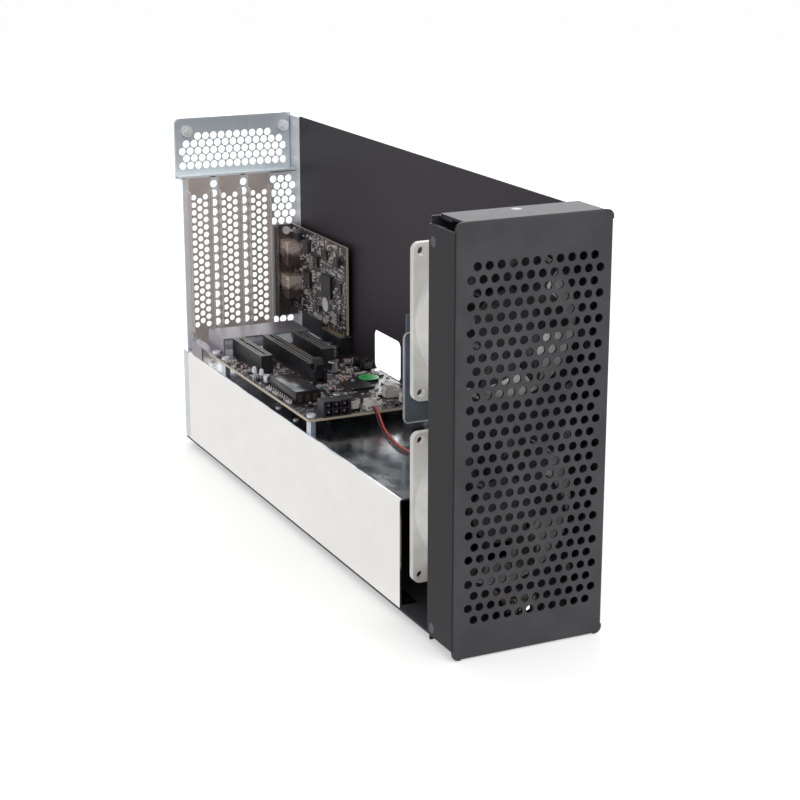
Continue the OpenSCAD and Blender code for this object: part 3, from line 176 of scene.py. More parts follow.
def between(tree, factor, low, high, start=0.0, end=1.0):
    """Carries a factor between two limits onto two values."""
    inputs = {
        "Value": factor,
        "From Min": start,
        "From Max": end,
        "To Min": low,
        "To Max": high,
    }
    return put(tree, "ShaderNodeMapRange", inputs).outputs["Result"]


def sums(tree, operation, first, second=0.5, third=0.5):
    """One sum on up to three factors."""
    inputs = {0: first, 1: second, 2: third}
    return put(tree, "ShaderNodeMath", inputs, operation=operation).outputs[0]


def either(tree, factor, first, second):
    """Mixes two factors."""
    inputs = {"Factor": factor, 2: first, 3: second}
    return put(tree, "ShaderNodeMix", inputs, data_type="FLOAT").outputs[0]


def blend_of(tree, factor, first, second):
    """Mixes two colours, each linear red, green and blue or a socket."""
    inputs = {"Factor": factor}
    for number, value in ((6, first), (7, second)):
        ready = isinstance(value, bpy.types.NodeSocket)
        inputs[number] = value if ready else (*value, 1)
    settings = {"data_type": "RGBA", "clamp_factor": True}
    return put(tree, "ShaderNodeMix", inputs, **settings).outputs[2]


def clouds(tree, cloud, start, end, first, second):
    """Mixes two colours in clouds, whose borders lie between two levels of a noise."""
    return blend_of(tree, between(tree, cloud, 0, 1, start, end), first, second)


def rounded(tree, radius):
    """The surface's normal, with edges that look rounded by that many millimetres."""
    made = put(tree, "ShaderNodeBevel", {"Radius": radius * MM}, samples=4)
    return made.outputs["Normal"]


# Callers paint edges paler with this: wear on the coat, painted glints on plated sheet
def edge_wear_and_glint(tree, radius):
    """How near a fold or a cut edge lies: 0 on the flat, 1 on the edge itself."""
    sharp = put(tree, "ShaderNodeNewGeometry").outputs["Normal"]
    normals = {0: rounded(tree, radius), 1: sharp}
    near = put(tree, "ShaderNodeVectorMath", normals, operation="DOT_PRODUCT")
    return between(tree, near.outputs["Value"], 1.0, 0.0, 0.75, 0.98)


def facing(tree, axis):
    """1 where a face points along one of the object's own axes, whichever way, else 0."""
    normal = put(tree, "ShaderNodeTexCoord").outputs["Normal"]
    share = sums(tree, "ABSOLUTE", part_of(tree, normal, axis))
    return sums(tree, "GREATER_THAN", share, 0.7)


def skin(tree, shader, height, depth, strength=0.5, edge=0.0, **links):
    """Bumps a shader by a height, that many millimetres deep, over softened edges, and
    links what else varies to the sockets that the other arguments name."""
    inputs = {"Height": height, "Distance": depth * MM, "Strength": strength}
    if edge:
        inputs["Normal"] = rounded(tree, edge)
    links["Normal"] = put(tree, "ShaderNodeBump", inputs).outputs["Normal"]
    for name, value in links.items():
        tree.links.new(value, shader.inputs[name.replace("_", " ")])


# Finishes, each named for the real material. Sizes are in millimetres

ORANGE_PEEL = 0.45
# Lines that the rolls leave in sheet, drawn out along its length
ROLLING = 0.35
DRAWN = 0.3
PLATE_DEPTH = 0.004
MOULD_DEPTH = 0.008


def powder_coat(name, tint, wear_and_highlight, side_shade=1.0):
    """Polyester powder coat on steel: an orange-peel skin dulls the gloss, edges turn paler, partly
    by wear and partly as a painted highlight, and the faces along x can be painted darker as
    painted shade.
    """
    made, tree, shader, place = finish(name, tint, roughness=0.5, Specular_IOR_Level=0.14)
    peel = grain(tree, place, ORANGE_PEEL, detail=3)
    cloud = grain(tree, place, 26, detail=3)
    pale = blend_of(tree, between(tree, cloud, 0, 0.35, 0.35, 0.7), tint, wear_and_highlight)
    # Faces that point along x are painted darker by a factor: painted shade on the sides
    coated = blend_of(tree, facing(tree, 0), pale, times(tint, side_shade))
    # Edges turn paler in clouds: partly wear, partly a painted highlight
    rubbed_and_highlit = sums(tree, "MULTIPLY", edge_wear_and_glint(tree, 0.5), between(tree, cloud, 0.25, 0.8))
    colour = blend_of(tree, rubbed_and_highlit, coated, wear_and_highlight)
    gloss = between(tree, peel, 0.4, 0.56)
    skin(tree, shader, peel, 0.02, 0.45, edge=0.5, Base_Color=colour, Roughness=gloss)
    return made


def zinc_plate(name, tint, roughness):
    """Electro-zinc on cold rolled sheet: satin, with rolling lines and cloudy passivation."""
    made, tree, shader, place = finish(name, tint, metallic=1.0, roughness=roughness)
    lines = grain(tree, place, ROLLING, stretch=(1, 30, 1), detail=4)
    cloud = grain(tree, place, 18, detail=4, roughness=0.6)
    colour = clouds(tree, cloud, 0.3, 0.7, times(tint, 0.95), tint)
    gloss = sums(tree, "MULTIPLY_ADD", lines, 0.12, roughness - 0.06)
    skin(tree, shader, lines, PLATE_DEPTH, edge=0.25, Base_Color=colour, Roughness=gloss)
    return made


def milled_zinc(name, tint, deck):
    """Electro-zinc sheet: upright faces are matt and pale; level faces mirror, and their darker
    bluish tint in clouds is a painted reflection of the dark wall.
    """
    made, tree, shader, place = finish(name, tint, metallic=1.0, roughness=0.22)
    lines = grain(tree, place, ROLLING, stretch=(1, 30, 1), detail=4)
    cloud = grain(tree, place, 15, stretch=(1, 1.6, 1), detail=5, roughness=0.6)
    level = facing(tree, 2)
    pale = clouds(tree, cloud, 0.3, 0.7, times(tint, 0.96), tint)
    # Level faces take the darker bluish deck tint in clouds: a painted reflection of the dark wall
    deck_reflection_tint = clouds(tree, cloud, 0.38, 0.68, deck, times(deck, 2.0))
    colour = blend_of(tree, level, pale, deck_reflection_tint)
    matt = between(tree, lines, 0.18, 0.3)
    gloss = either(tree, level, matt, between(tree, cloud, 0.12, 0.3, 0.3, 0.7))
    skin(tree, shader, lines, PLATE_DEPTH, edge=0.25, Base_Color=colour, Roughness=gloss)
    return made


def turned_steel(name, tint, roughness=0.22):
    """Plated or blackened turned steel and brass: a clear mirror with fine turning marks."""
    made, tree, shader, place = finish(name, tint, metallic=1.0, roughness=roughness)
    marks = grain(tree, place, 0.12, stretch=(1, 4, 1))
    gloss = between(tree, marks, roughness - 0.08, roughness + 0.12)
    skin(tree, shader, marks, PLATE_DEPTH, edge=0.2, Roughness=gloss)
    return made


def moulded(name, tint, roughness=0.42, texture=0.16):
    """Injection moulded plastic: spark-eroded mould texture, edges a little rounded."""
    made, tree, shader, place = finish(name, tint, roughness=roughness)
    erosion = grain(tree, place, texture)
    colour = clouds(tree, grain(tree, place, 12), 0.35, 0.65, times(tint, 0.88), tint)
    gloss = between(tree, erosion, roughness - 0.06, roughness + 0.1)
    skin(tree, shader, erosion, MOULD_DEPTH, edge=0.2, Base_Color=colour, Roughness=gloss)
    return made


def satin_zinc(name, tint, roughness=0.34, shine=0.55, glint_reach=0.35):
    """Passivated zinc or nickel plate: part of what the eye meets is milky film, part mirror, and
    its edges are painted paler as painted glints.
    """
    made, tree, shader, place = finish(name, tint, metallic=shine, roughness=roughness)
    lines = grain(tree, place, DRAWN, stretch=(1, 1, 25), detail=3)
    patch = grain(tree, place, 14, detail=4, roughness=0.55)
    film = clouds(tree, patch, 0.35, 0.65, times(tint, 0.9), tint)
    # Edges are painted up to 2.2 times paler: painted glints
    colour = blend_of(tree, edge_wear_and_glint(tree, glint_reach), film, times(tint, 2.2))
    gloss = between(tree, lines, roughness - 0.06, roughness + 0.08)
    skin(tree, shader, lines, PLATE_DEPTH, edge=0.3, Base_Color=colour, Roughness=gloss)
    return made


def zinc_with_foot_sheen(name, tint, roughness, shine):
    """Chromated plate painted paler towards its foot, in patches, as a painted sheen, and near
    white along its edges as painted glints.
    """
    made, tree, shader, place = finish(name, tint, metallic=shine, roughness=roughness)
    low, high = span("retainer_plate")
    patch = grain(tree, place, 9, detail=5, roughness=0.6)
    drift = (high.z - low.z) * MM / 2
    level = sums(tree, "MULTIPLY_ADD", patch, drift, part_of(tree, place, 2))
    # Paler towards the plate's foot, in patches: a painted sheen
    foot = between(tree, level, 1, 0, (low.z + 4) * MM, (high.z + 6) * MM)
    white = times(tint, 1.8)
    film = blend_of(tree, foot, times(tint, 0.95), white)
    # Edges painted near white: painted glints
    colour = blend_of(tree, edge_wear_and_glint(tree, 0.7), film, white)
    lines = grain(tree, place, DRAWN, stretch=(25, 1, 1), detail=3)
    gloss = between(tree, lines, roughness - 0.06, roughness + 0.08)
    skin(tree, shader, lines, PLATE_DEPTH, edge=0.3, Base_Color=colour, Roughness=gloss)
    return made


def shell_with_painted_highlight(name, dark, bright):
    """Tinned shells stamped from thin strip: each is painted bright above as a painted highlight
    and dark below as painted shade, in clouds.
    """
    made, tree, shader, place = finish(name, bright, metallic=0.6, roughness=0.22)
    # From one shell's foot to the next, so that both get the same painted highlight and shade
    pitch = 22
    above = sums(tree, "SUBTRACT", part_of(tree, place, 2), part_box("host_ports")[0].z)
    rise = sums(tree, "FRACT", sums(tree, "DIVIDE", above, pitch * MM))
    cloud = grain(tree, place, 6, stretch=(1, 2, 0.7))
    level = sums(tree, "MULTIPLY_ADD", cloud, 0.5, rise)
    # Dark below and bright above within each shell's pitch: painted shade and a painted highlight
    colour = clouds(tree, level, 0.5, 0.72, dark, bright)
    fine = grain(tree, place, 0.4, stretch=(1, 20, 1))
    gloss = between(tree, fine, 0.18, 0.34)
    skin(tree, shader, fine, PLATE_DEPTH, edge=0.4, Base_Color=colour, Roughness=gloss)
    return made


def plain(name, tint, metallic=0.0, roughness=0.4, texture=0.3, depth=0.004, **sockets):
    """A small part's finish: its colour varies a little and its skin has a fine grain."""
    made, tree, shader, place = finish(name, tint, metallic, roughness, **sockets)
    fine = grain(tree, place, texture)
    colour = blend_of(tree, fine, times(tint, 0.82), tint)
    gloss = between(tree, fine, max(roughness - 0.08, 0.05), roughness + 0.08)
    skin(tree, shader, fine, depth, Base_Color=colour, Roughness=gloss)
    return made


# What a board's face shows. Tracks are coarser than the real ones, so that they show, and run
# one way or the other in patches. Vias are 0.6 mm and tinned pads 0.9 mm across

TRACK_PITCH, TRACK_SHARE, TRACK_PATCH = 1.3, 0.42, 9
VIA_PITCH, VIA_REACH = 2.6, 0.12
PAD_PITCH, PAD_REACH = 1.9, 0.24


def solder_mask(name, tint, track, flat):
    """Black or green solder mask on glass-fibre laminate: tracks swell under it, and vias and pads
    are painted near white, partly as tin and partly as painted glints. flat gives the two axes of
    the board's face, by number."""
    made, tree, shader, place = finish(name, tint, roughness=0.3, Specular_IOR_Level=0.5)
    u, v = (part_of(tree, place, axis) for axis in flat)
    face = put(tree, "ShaderNodeCombineXYZ", {"X": u, "Y": v}).outputs["Vector"]
    ground = blend_of(tree, grain(tree, place, 22, detail=3), times(tint, 0.75), tint)

    _, patch = cells(tree, face, TRACK_PATCH, distance="MANHATTAN")
    runs = []
    for along in (u, v):
        step = sums(tree, "MULTIPLY", along, 1 / (TRACK_PITCH * MM))
        runs.append(sums(tree, "LESS_THAN", sums(tree, "FRACT", step), TRACK_SHARE))
    tracks = either(tree, sums(tree, "GREATER_THAN", patch["Red"], 0.5), *runs)
    held = sums(tree, "GREATER_THAN", patch["Green"], 0.42)
    tracks = sums(tree, "MULTIPLY", tracks, held)

    near, own = cells(tree, face, VIA_PITCH, spread=0.9)
    bored = sums(tree, "GREATER_THAN", own["Blue"], 0.45)
    via = sums(tree, "MULTIPLY", sums(tree, "LESS_THAN", near, VIA_REACH), bored)

    near, _ = cells(tree, face, PAD_PITCH, spread=0.55, distance="CHEBYCHEV")
    crowd = sums(tree, "GREATER_THAN", grain(tree, place, 12, detail=1), 0.48)
    pad = sums(tree, "MULTIPLY", sums(tree, "LESS_THAN", near, PAD_REACH), crowd)

    colour = blend_of(tree, tracks, ground, track)
    # Pads and vias painted near white: partly tin, partly painted glints
    colour = blend_of(tree, pad, colour, linear("#d6c9d2"))
    colour = blend_of(tree, via, colour, linear("#e0d6de"))
    # The laminate's cut edge is cream
    through = ({0, 1, 2} - set(flat)).pop()
    colour = blend_of(tree, facing(tree, through), linear("#c8b9a0"), colour)
    shine = sums(tree, "MULTIPLY", via, 0.3)
    height = sums(tree, "MULTIPLY_ADD", via, 0.8, tracks)
    skin(tree, shader, height, 0.05, 0.6, Base_Color=colour, Metallic=shine)
    return made


# Mesh basics


def painted(verts, paint):
    """Gives the faces at some vertices one of their object's finishes, by number."""
    for face in {face for vert in verts for face in vert.link_faces}:
        face.material_index = paint


def cube(bm, low, high, soft=0.0, steps=1, paint=0):
    """A block between two corners in millimetres, its edges softened by that much."""
    low, high = at(*low), at(*high)
    made = bmesh.ops.create_cube(bm, size=1.0)["verts"]
    bmesh.ops.scale(bm, vec=high - low, verts=made)
    bmesh.ops.translate(bm, vec=(low + high) / 2, verts=made)
    painted(made, paint)
    if soft:
        bmesh.ops.bevel(
            bm,
            geom=list(dict.fromkeys(edge for vert in made for edge in vert.link_edges)),
            offset=soft * MM,
            offset_type="OFFSET",
            segments=steps,
            profile=0.5,
            affect="EDGES",
            material=-1,
        )


def turned(bm, foot, way, profile, sides=24, paint=0):
    """Spins a profile of radius and height, in millimetres, about an axis from a foot."""
    verts = [
        bmesh.ops.create_vert(bm, co=(r * MM, 0, h * MM))["vert"][0] for r, h in profile
    ]
    edges = [bm.edges.new(pair) for pair in zip(verts, verts[1:])]
    made = bmesh.ops.spin(
        bm,
        geom=[*verts, *edges],
        cent=(0, 0, 0),
        axis=UP,
        angle=math.tau,
        steps=sides,
        use_merge=True,
    )
    geom = {item for item in made["geom_last"] if isinstance(item, bmesh.types.BMVert)}
    ring = set(verts) | geom
    grown = set(ring)
    while ring:
        ring = {
            edge.other_vert(vert) for vert in ring for edge in vert.link_edges
        } - grown
        grown |= ring
    grown = list(grown)
    bmesh.ops.remove_doubles(bm, verts=grown, dist=1e-7)
    grown = [vert for vert in grown if vert.is_valid]
    painted(grown, paint)
    turn = Vector(UP).rotation_difference(Vector(way)).to_matrix()
    bmesh.ops.rotate(bm, cent=(0, 0, 0), matrix=turn, verts=grown)
    bmesh.ops.translate(bm, vec=at(*foot), verts=grown)


def disc(bm, foot, way, radius, low, high, sides, paint=0):
    """A flat round plate, from one height above its foot to another."""
    turned(bm, foot, way, [(0, low), (radius, low), (radius, high), (0, high)], sides, paint)


def rod(bm, start, end, radius, sides=16, paint=0):
    """A straight round rod between two points in millimetres."""
    start, end = at(*start), at(*end)
    made = bmesh.ops.create_cone(
        bm,
        cap_ends=True,
        segments=sides,
        radius1=radius * MM,
        radius2=radius * MM,
        depth=(end - start).length,
    )["verts"]
    turn = Vector(UP).rotation_difference(end - start).to_matrix()
    bmesh.ops.rotate(bm, cent=(0, 0, 0), matrix=turn, verts=made)
    bmesh.ops.translate(bm, vec=(start + end) / 2, verts=made)
    painted(made, paint)


def piece(name, bm, finishes, replaces=()):
    """Makes a finished object of a mesh: its faces point outwards and its sharp edges stay."""
    bmesh.ops.recalc_face_normals(bm, faces=bm.faces)
    for face in bm.faces:
        face.smooth = True
    for edge in bm.edges:
        edge.smooth = len(edge.link_faces) == 2 and edge.calc_face_angle() < SOFT_EDGE
    mesh = bpy.data.meshes.new(name)
    bm.to_mesh(mesh)
    bm.free()
    for made in finishes:
        mesh.materials.append(made)
    made = bpy.data.objects.new(name, mesh)
    bpy.context.scene.collection.objects.link(made)
    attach(made, "chassis")
    if replaces:
        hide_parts(*replaces)


def dress(made, *nodes):
    """Gives carried-over CAD nodes a finish."""
    for name in nodes:
        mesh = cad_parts[name].data
        if not mesh.materials:
            mesh.materials.append(made)
        for number in range(len(mesh.materials)):
            mesh.materials[number] = made


# Sizes and colours


def shade(name, text, code):
    """A colour property."""
    return bpy.props.FloatVectorProperty(
        name=name,
        description=text,
        subtype="COLOR",
        size=3,
        min=0.0,
        max=1.0,
        default=linear(code),
    )


def length(name, text, size):
    """A length property, in metres."""
    return bpy.props.FloatProperty(
        name=name, description=text, subtype="DISTANCE", unit="LENGTH", default=size * MM
    )


def angle(name, text, degrees):
    """An angle property, in radians."""
    return bpy.props.FloatProperty(
        name=name,
        description=text,
        subtype="ANGLE",
        unit="ROTATION",
        default=math.radians(degrees),
    )


def count(name, text, number):
    """A property that counts pieces."""
    return bpy.props.IntProperty(name=name, description=text, default=number, min=0)


class ChassisColours(bpy.types.PropertyGroup):
    """Colours of the finishes, given as sRGB hex"""

    coat: shade("Coat", "Black powder coat of the bezel and the tray", "#48474b")
    # Paler coat in clouds and along edges; on the edges partly wear and partly a painted highlight
    coat_wear_and_highlight: shade("Worn coat", "Coat where it is rubbed along edges", "#66666a")
    wall: shade("Far wall", "Thin black coat inside the far wall", "#373438")
    zinc: shade("Zinc", "Plated sheet of the power box", "#eceae7")
    # The deck's darker bluish tint is a painted reflection of the dark wall
    deck: shade("Deck", "Oiled zinc on top of the power box", "#b9c1cf")
    zinc_dull: shade("Rear zinc", "Duller plated sheet at the rear", "#e8ecf1")
    bridge: shade("Bridging plate", "Lilac chromated plate behind the slots", "#96929a")
    retainer: shade("Retainer", "Plated retainer over the cover tabs", "#bac1c9")
    cover: shade("Slot cover", "Warm grey plated slot covers", "#cdc1bb")
    bright: shade("Bright steel", "Screws, nuts and studs", "#f6f8fb")
    fan: shade("Fan frame", "Light warm grey fan plastic", "#f4f3ee")
    rotor: shade("Fan rotor", "Black fan blades", "#3a3b3d")
    mask: shade("Solder mask", "Black mask of the boards", "#2b2627")
    track: shade("Track", "Mask over copper tracks", "#3f3a3c")
    slot: shade("Slot", "Black nylon of the slots", "#29292c")
    red: shade("Red vinyl", "Insulation of the fan's red lead", "#f2605a")
    pink: shade("Pink vinyl", "Insulation of the black block's two leads", "#e04a78")
    black: shade("Black vinyl", "Insulation of the fan's dark lead", "#242021")


class ChassisSizes(bpy.types.PropertyGroup):
    """Sizes of what the scene adds, given in millimetres, and its counts"""

    lead: length("Lead", "Diameter of the small leads", 1.3)
    lead_gap: length("Lead gap", "Distance between the two leads of a pair", 1.7)
    contact: length("Contact pitch", "Pitch of the contacts in the card slots", 1.0)
    leg: length("Chip leg pitch", "Pitch of the legs along the chips", 0.8)
    parts: count("Small parts", "How many small parts lie on the backplane", 420)
    card_parts: count("Card parts", "How many small parts stand on the host card", 320)


class ChassisStage(bpy.types.PropertyGroup):
    """The camera and the light"""

    turn: angle("Turn", "The camera's heading to the right of the depth", 25.56)
    tilt: angle("Tilt", "How far the camera looks down", 16.43)
    lens: bpy.props.FloatProperty(
        name="Lens", description="Focal length in millimetres", unit="CAMERA", default=84.23
    )
    sky: bpy.props.FloatProperty(
        name="Sky", description="Strength of the even light", default=0.62
    )
    key: bpy.props.FloatProperty(
        name="Key",
        description="Power of the main lamp in watts",
        unit="POWER",
        default=10.0,
    )


class ChassisPart:
    """What every operator of the chassis shares."""

    bl_options = {"REGISTER", "UNDO"}

    @property
    def tint(self):
        return bpy.context.scene.chassis_colours

    @property
    def size(self):
        return bpy.context.scene.chassis_sizes


# Stage

CAMERA_PLACE = (-426.19, -744.19, 379.85)
LAMP_TARGET = (0, 0, 0.11)
# Each lamp's place and width in metres, and its share of the main lamp's power
LAMPS = {
    "key_lamp": ((0.35, -1.7, 1.35), 1.2, 1.0),
    "back_lamp": ((0.9, 1.9, 1.15), 1.4, 1.6),
}
FLOOR_REACH = 6.0
FLOOR_GLOW = 0.42


def panel_lamp(name, place, size, watts):
    """A square soft lamp that looks at the object, its place and width in metres."""
    data = bpy.data.lights.new(name, "AREA")
    data.shape = "SQUARE"
    data.size = size
    data.energy = watts
    made = bpy.data.objects.new(name, data)
    made.location = place
    way = Vector(LAMP_TARGET) - Vector(place)
    made.rotation_euler = way.to_track_quat("-Z", "Y").to_euler()
    bpy.context.scene.collection.objects.link(made)


class CHASSIS_OT_stage(ChassisPart, bpy.types.Operator):
    """White floor, even light, soft lamps and the camera"""

    bl_idname = "chassis.stage"
    bl_label = "Stage"

    def execute(self, context):
        scene, sizes = context.scene, context.scene.chassis_stage
        scene.view_settings.view_transform = "Standard"
        world = bpy.data.worlds.new("white_room")
        scene.world = world
        world.use_nodes = True
        tree = world.node_tree
        tree.nodes.clear()
        seen = put(tree, "ShaderNodeLightPath").outputs
        straight = sums(tree, "MAXIMUM", seen["Is Camera Ray"], seen["Is Transmission Ray"])
        white = sums(tree, "MAXIMUM", straight, seen["Is Glossy Ray"])
        level = between(tree, white, sizes.sky, 1.0)
        back = put(tree, "ShaderNodeBackground", {"Color": (1, 1, 1, 1), "Strength": level})
        put(tree, "ShaderNodeOutputWorld", {"Surface": back.outputs[0]})

        bm = bmesh.new()
        bmesh.ops.create_grid(bm, x_segments=1, y_segments=1, size=FLOOR_REACH)
        mesh = bpy.data.meshes.new("floor")
        bm.to_mesh(mesh)
        bm.free()
        floor = bpy.data.objects.new("floor", mesh)
        scene.collection.objects.link(floor)
        paper = bpy.data.materials.new("white_paper_sweep")
        paper.use_nodes = True
        tree = paper.node_tree
        tree.nodes.clear()
        seen = put(tree, "ShaderNodeLightPath").outputs
        straight = sums(tree, "MAXIMUM", seen["Is Glossy Ray"], seen["Is Transmission Ray"])
        matt = put(tree, "ShaderNodeBsdfDiffuse", {"Color": (0.9, 0.9, 0.9, 1)})
        power = sums(tree, "MULTIPLY", seen["Is Camera Ray"], FLOOR_GLOW)
        shaders = []
        for strength in (power, 1.0):
            inputs = {"Color": (1, 1, 1, 1), "Strength": strength}
            shaders.append(put(tree, "ShaderNodeEmission", inputs).outputs[0])
        glow, flat = shaders
        lit = put(tree, "ShaderNodeAddShader", {0: matt.outputs[0], 1: glow})
        both = put(tree, "ShaderNodeMixShader", {0: straight, 1: lit.outputs[0], 2: flat})
        put(tree, "ShaderNodeOutputMaterial", {"Surface": both.outputs[0]})
        mesh.materials.append(paper)

        for name, (place, size, share) in LAMPS.items():
            panel_lamp(name, place, size, sizes.key * share)

        data = bpy.data.cameras.new("camera")
        data.lens = sizes.lens
        data.sensor_width = 36.0
        data.clip_start, data.clip_end = 0.05, 40.0
        camera = bpy.data.objects.new("camera", data)
        camera.location = at(*CAMERA_PLACE)
        camera.rotation_euler = (math.pi / 2 - sizes.tilt, 0, -sizes.turn)
        scene.collection.objects.link(camera)
        scene.camera = camera
        return {"FINISHED"}


# Leads

FAN_ROUTE = [
    (1.2, 183, 75), (1, 180, 74.8), (0.8, 177, 73.4), (0.4, 173, 70.4), (0, 168, 67),
    (-0.4, 163, 65.4), (-1.4, 157, 65), (-2.6, 150, 65), (-3.8, 143, 65), (-4.2, 136, 65),
    (-3.8, 129, 65), (-2.6, 122, 65), (-1.4, 114, 65), (-1.2, 106, 65), (-2.4, 98, 65),
    (-5, 90, 65), (-8.4, 82, 65), (-12, 75, 65.4), (-15.4, 69, 67.4), (-18.4, 64, 71.4),
    (-20.8, 60, 77.4), (-22.4, 57.4, 84), (-23.4, 55.8, 90), (-24, 54.6, 94.4),
    (-24, 52.7, 96),
]  # fmt: skip
BLOCK_ROUTE = [
    (12, 152, 66.6), (12, 149, 66.6), (12.2, 145, 66.4), (12.6, 140, 65.8),
    (13, 135, 65.2), (13.2, 130, 65), (13, 125, 65.2), (12.6, 120, 65.8),
    (12.2, 115, 66.4), (12, 111, 66.6), (12, 108, 66.6),
]  # fmt: skip


def lead(name, route, shift, diameter, insulation, node, slot):
    """One insulated lead along a route of points in millimetres."""
    points = [at(x + shift, y, z) for x, y, z in route]
    data = bpy.data.curves.new(name, "CURVE")
    data.dimensions = "3D"
    data.bevel_depth = diameter / 2
    data.bevel_resolution = 4
    data.resolution_u = 4
    data.use_fill_caps = True
    line = data.splines.new("BEZIER")
    line.bezier_points.add(len(points) - 1)
    for knot, point in zip(line.bezier_points, points):
        knot.co = point
        knot.handle_left_type = knot.handle_right_type = "AUTO"
    data.materials.append(insulation)
    made = bpy.data.objects.new(name, data)
    bpy.context.scene.collection.objects.link(made)
    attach(made, "chassis")
    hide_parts(node)


def vinyl(name, tint):
    """Soft PVC insulation: smooth and a little waxy, so it shows a soft highlight."""
    return plain(name, tint, roughness=0.36, texture=0.5, depth=0.006, Specular_IOR_Level=0.5)


class CHASSIS_OT_leads(ChassisPart, bpy.types.Operator):
    """The lower fan's red and black leads and the pair at the black block"""

    bl_idname = "chassis.leads"
    bl_label = "Leads"

    def execute(self, context):
        gap = self.size.lead_gap / MM
        red = vinyl("pvc_insulation_red", self.tint.red)
        dark = vinyl("pvc_insulation_black", self.tint.black)
        pink = vinyl("pvc_insulation_pink", self.tint.pink)
        across = self.size.lead
        thinner = across * 0.85
        lead("lead_red", FAN_ROUTE, 0, across, red, "fan_lead_red", "lead_red")
        lead("lead_black", FAN_ROUTE, -gap, thinner, dark, "fan_lead_black", "lead_black")
        lead("lead_pink", BLOCK_ROUTE, 0, across, pink, "block_lead_left", "lead_pink")
        lead("lead_rose", BLOCK_ROUTE, gap, across, pink, "block_lead_right", "lead_red")
        return {"FINISHED"}


# Sheet metal


class CHASSIS_OT_black_sheet(ChassisPart, bpy.types.Operator):
    """Bezel, fan plate, base tray and far wall in black coat"""

    bl_idname = "chassis.black_sheet"
    bl_label = "Black sheet"

    def execute(self, context):
        # The bezel's and the tray's faces along x are painted darker, to 0.4 of the tint: painted
        # shade
        coat = powder_coat("powder_coated_steel", self.tint.coat, self.tint.coat_wear_and_highlight, 0.4)
        dress(coat, "front_bezel", "base_tray")
        wall = powder_coat("thin_black_coat", self.tint.wall, self.tint.coat)
        dress(wall, "far_side_wall", "fan_plate")
        dress(turned_steel("black_oxide_steel", linear("#4c4c50"), 0.3), "bezel_screws")
        dress(satin_zinc("bright_nickel_steel", linear("#c8c8c6"), 0.25, 0.5), "fan_screws")
        dress(moulded("moulded_rubber", linear("#1c1c1d"), 0.7, 0.4), "feet")
        return {"FINISHED"}


class CHASSIS_OT_zinc_sheet(ChassisPart, bpy.types.Operator):
    """Power box, rear panel, retainer, slot covers and their screws"""

    bl_idname = "chassis.zinc_sheet"
    bl_label = "Zinc sheet"

    def execute(self, context):
        dress(milled_zinc("zinc_plated_sheet", self.tint.zinc, self.tint.deck), "power_box")
        dress(satin_zinc("passivated_zinc_sheet", self.tint.zinc_dull, 0.3, 0.2), "rear_panel")
        dress(satin_zinc("lilac_zinc_sheet", self.tint.bridge, 0.34, 0.5), "bridging_plate")
        dress(zinc_with_foot_sheen("chromated_zinc_sheet", self.tint.retainer, 0.3, 0.2), "retainer_plate")
        # The covers' edges get a wide band of painted glints
        warm = satin_zinc("nickel_plated_cover", self.tint.cover, 0.3, 0.15, glint_reach=0.9)
        dress(warm, "slot_cover_1", "slot_cover_2", "slot_cover_3")
        bright = satin_zinc("bright_zinc_steel", self.tint.bright, 0.2, 0.25)
        dress(
            bright,
            "deck_studs", "panel_screws", "thumb_nuts", "thumbscrew_left", "thumbscrew_right",
            "thumb_washer_left", "thumb_washer_right", "board_screws", "bridge_screws",
            "bracket_screws",
        )  # fmt: skip
        return {"FINISHED"}


class CHASSIS_OT_fans(ChassisPart, bpy.types.Operator):
    """The two fans behind the bezel and the lamps under them"""

    bl_idname = "chassis.fans"
    bl_label = "Fans"

    def execute(self, context):
        body = moulded("pbt_fan_frame", self.tint.fan, 0.45)
        dress(body, "upper_fan_frame", "lower_fan_frame")
        blades = moulded("pbt_fan_rotor", self.tint.rotor, 0.32)
        dress(blades, "upper_fan_rotor", "lower_fan_rotor")
        # The left lamp is off and dark red, the right one glows white
        dark = plain("epoxy_lamp_off", linear("#4a1216"), roughness=0.15)
        glow = {"Emission_Color": (1, 1, 1, 1), "Emission_Strength": 1.0}
        lit = plain("epoxy_lamp_lit", linear("#f4f4f8"), **glow)
        low, high = span("indicator_lamps")
        radius, z, long = (high.z - low.z) / 2, (high.z + low.z) / 2, high.y - low.y
        dome = [(0, 0), (radius, 0), (radius, long - 1), (radius * 0.7, long - 0.3), (0, long)]
        bm = bmesh.new()
        for paint, x in enumerate((low.x + radius, high.x - radius)):
            turned(bm, (x, high.y, z), (0, -1, 0), dome, 24, paint)
        piece("lamps", bm, [dark, lit], replaces=["indicator_lamps"])
        green = linear("#1d3b2a"), linear("#2c5340")
        dress(solder_mask("green_solder_mask", *green, (0, 2)), "indicator_board")
        return {"FINISHED"}


class CHASSIS_OT_power_supply(ChassisPart, bpy.types.Operator):
    """Power supply, its fan and guard, and the mains inlet"""

    bl_idname = "chassis.power_supply"
    bl_label = "Power supply"

    def execute(self, context):
        dress(zinc_plate("galvanised_sheet", linear("#b4b7b9"), 0.38), "supply_case")
        dress(turned_steel("plated_guard_wire", linear("#c6c9cc"), 0.25), "supply_fan_guard")
        green = linear("#1f3a28"), linear("#2c5340")
        dress(solder_mask("supply_solder_mask", *green, (0, 1)), "supply_board")
        dress(moulded("pbt_small_fan", linear("#252628"), 0.4), "supply_fan_frame")
        dress(moulded("pbt_small_rotor", linear("#1d1e20"), 0.3), "supply_fan_rotor")
        dress(moulded("moulded_inlet", linear("#1b1b1d"), 0.35), "mains_inlet")
        dress(turned_steel("brass_pins", linear("#c8ab68"), 0.2), "inlet_pins")
        return {"FINISHED"}


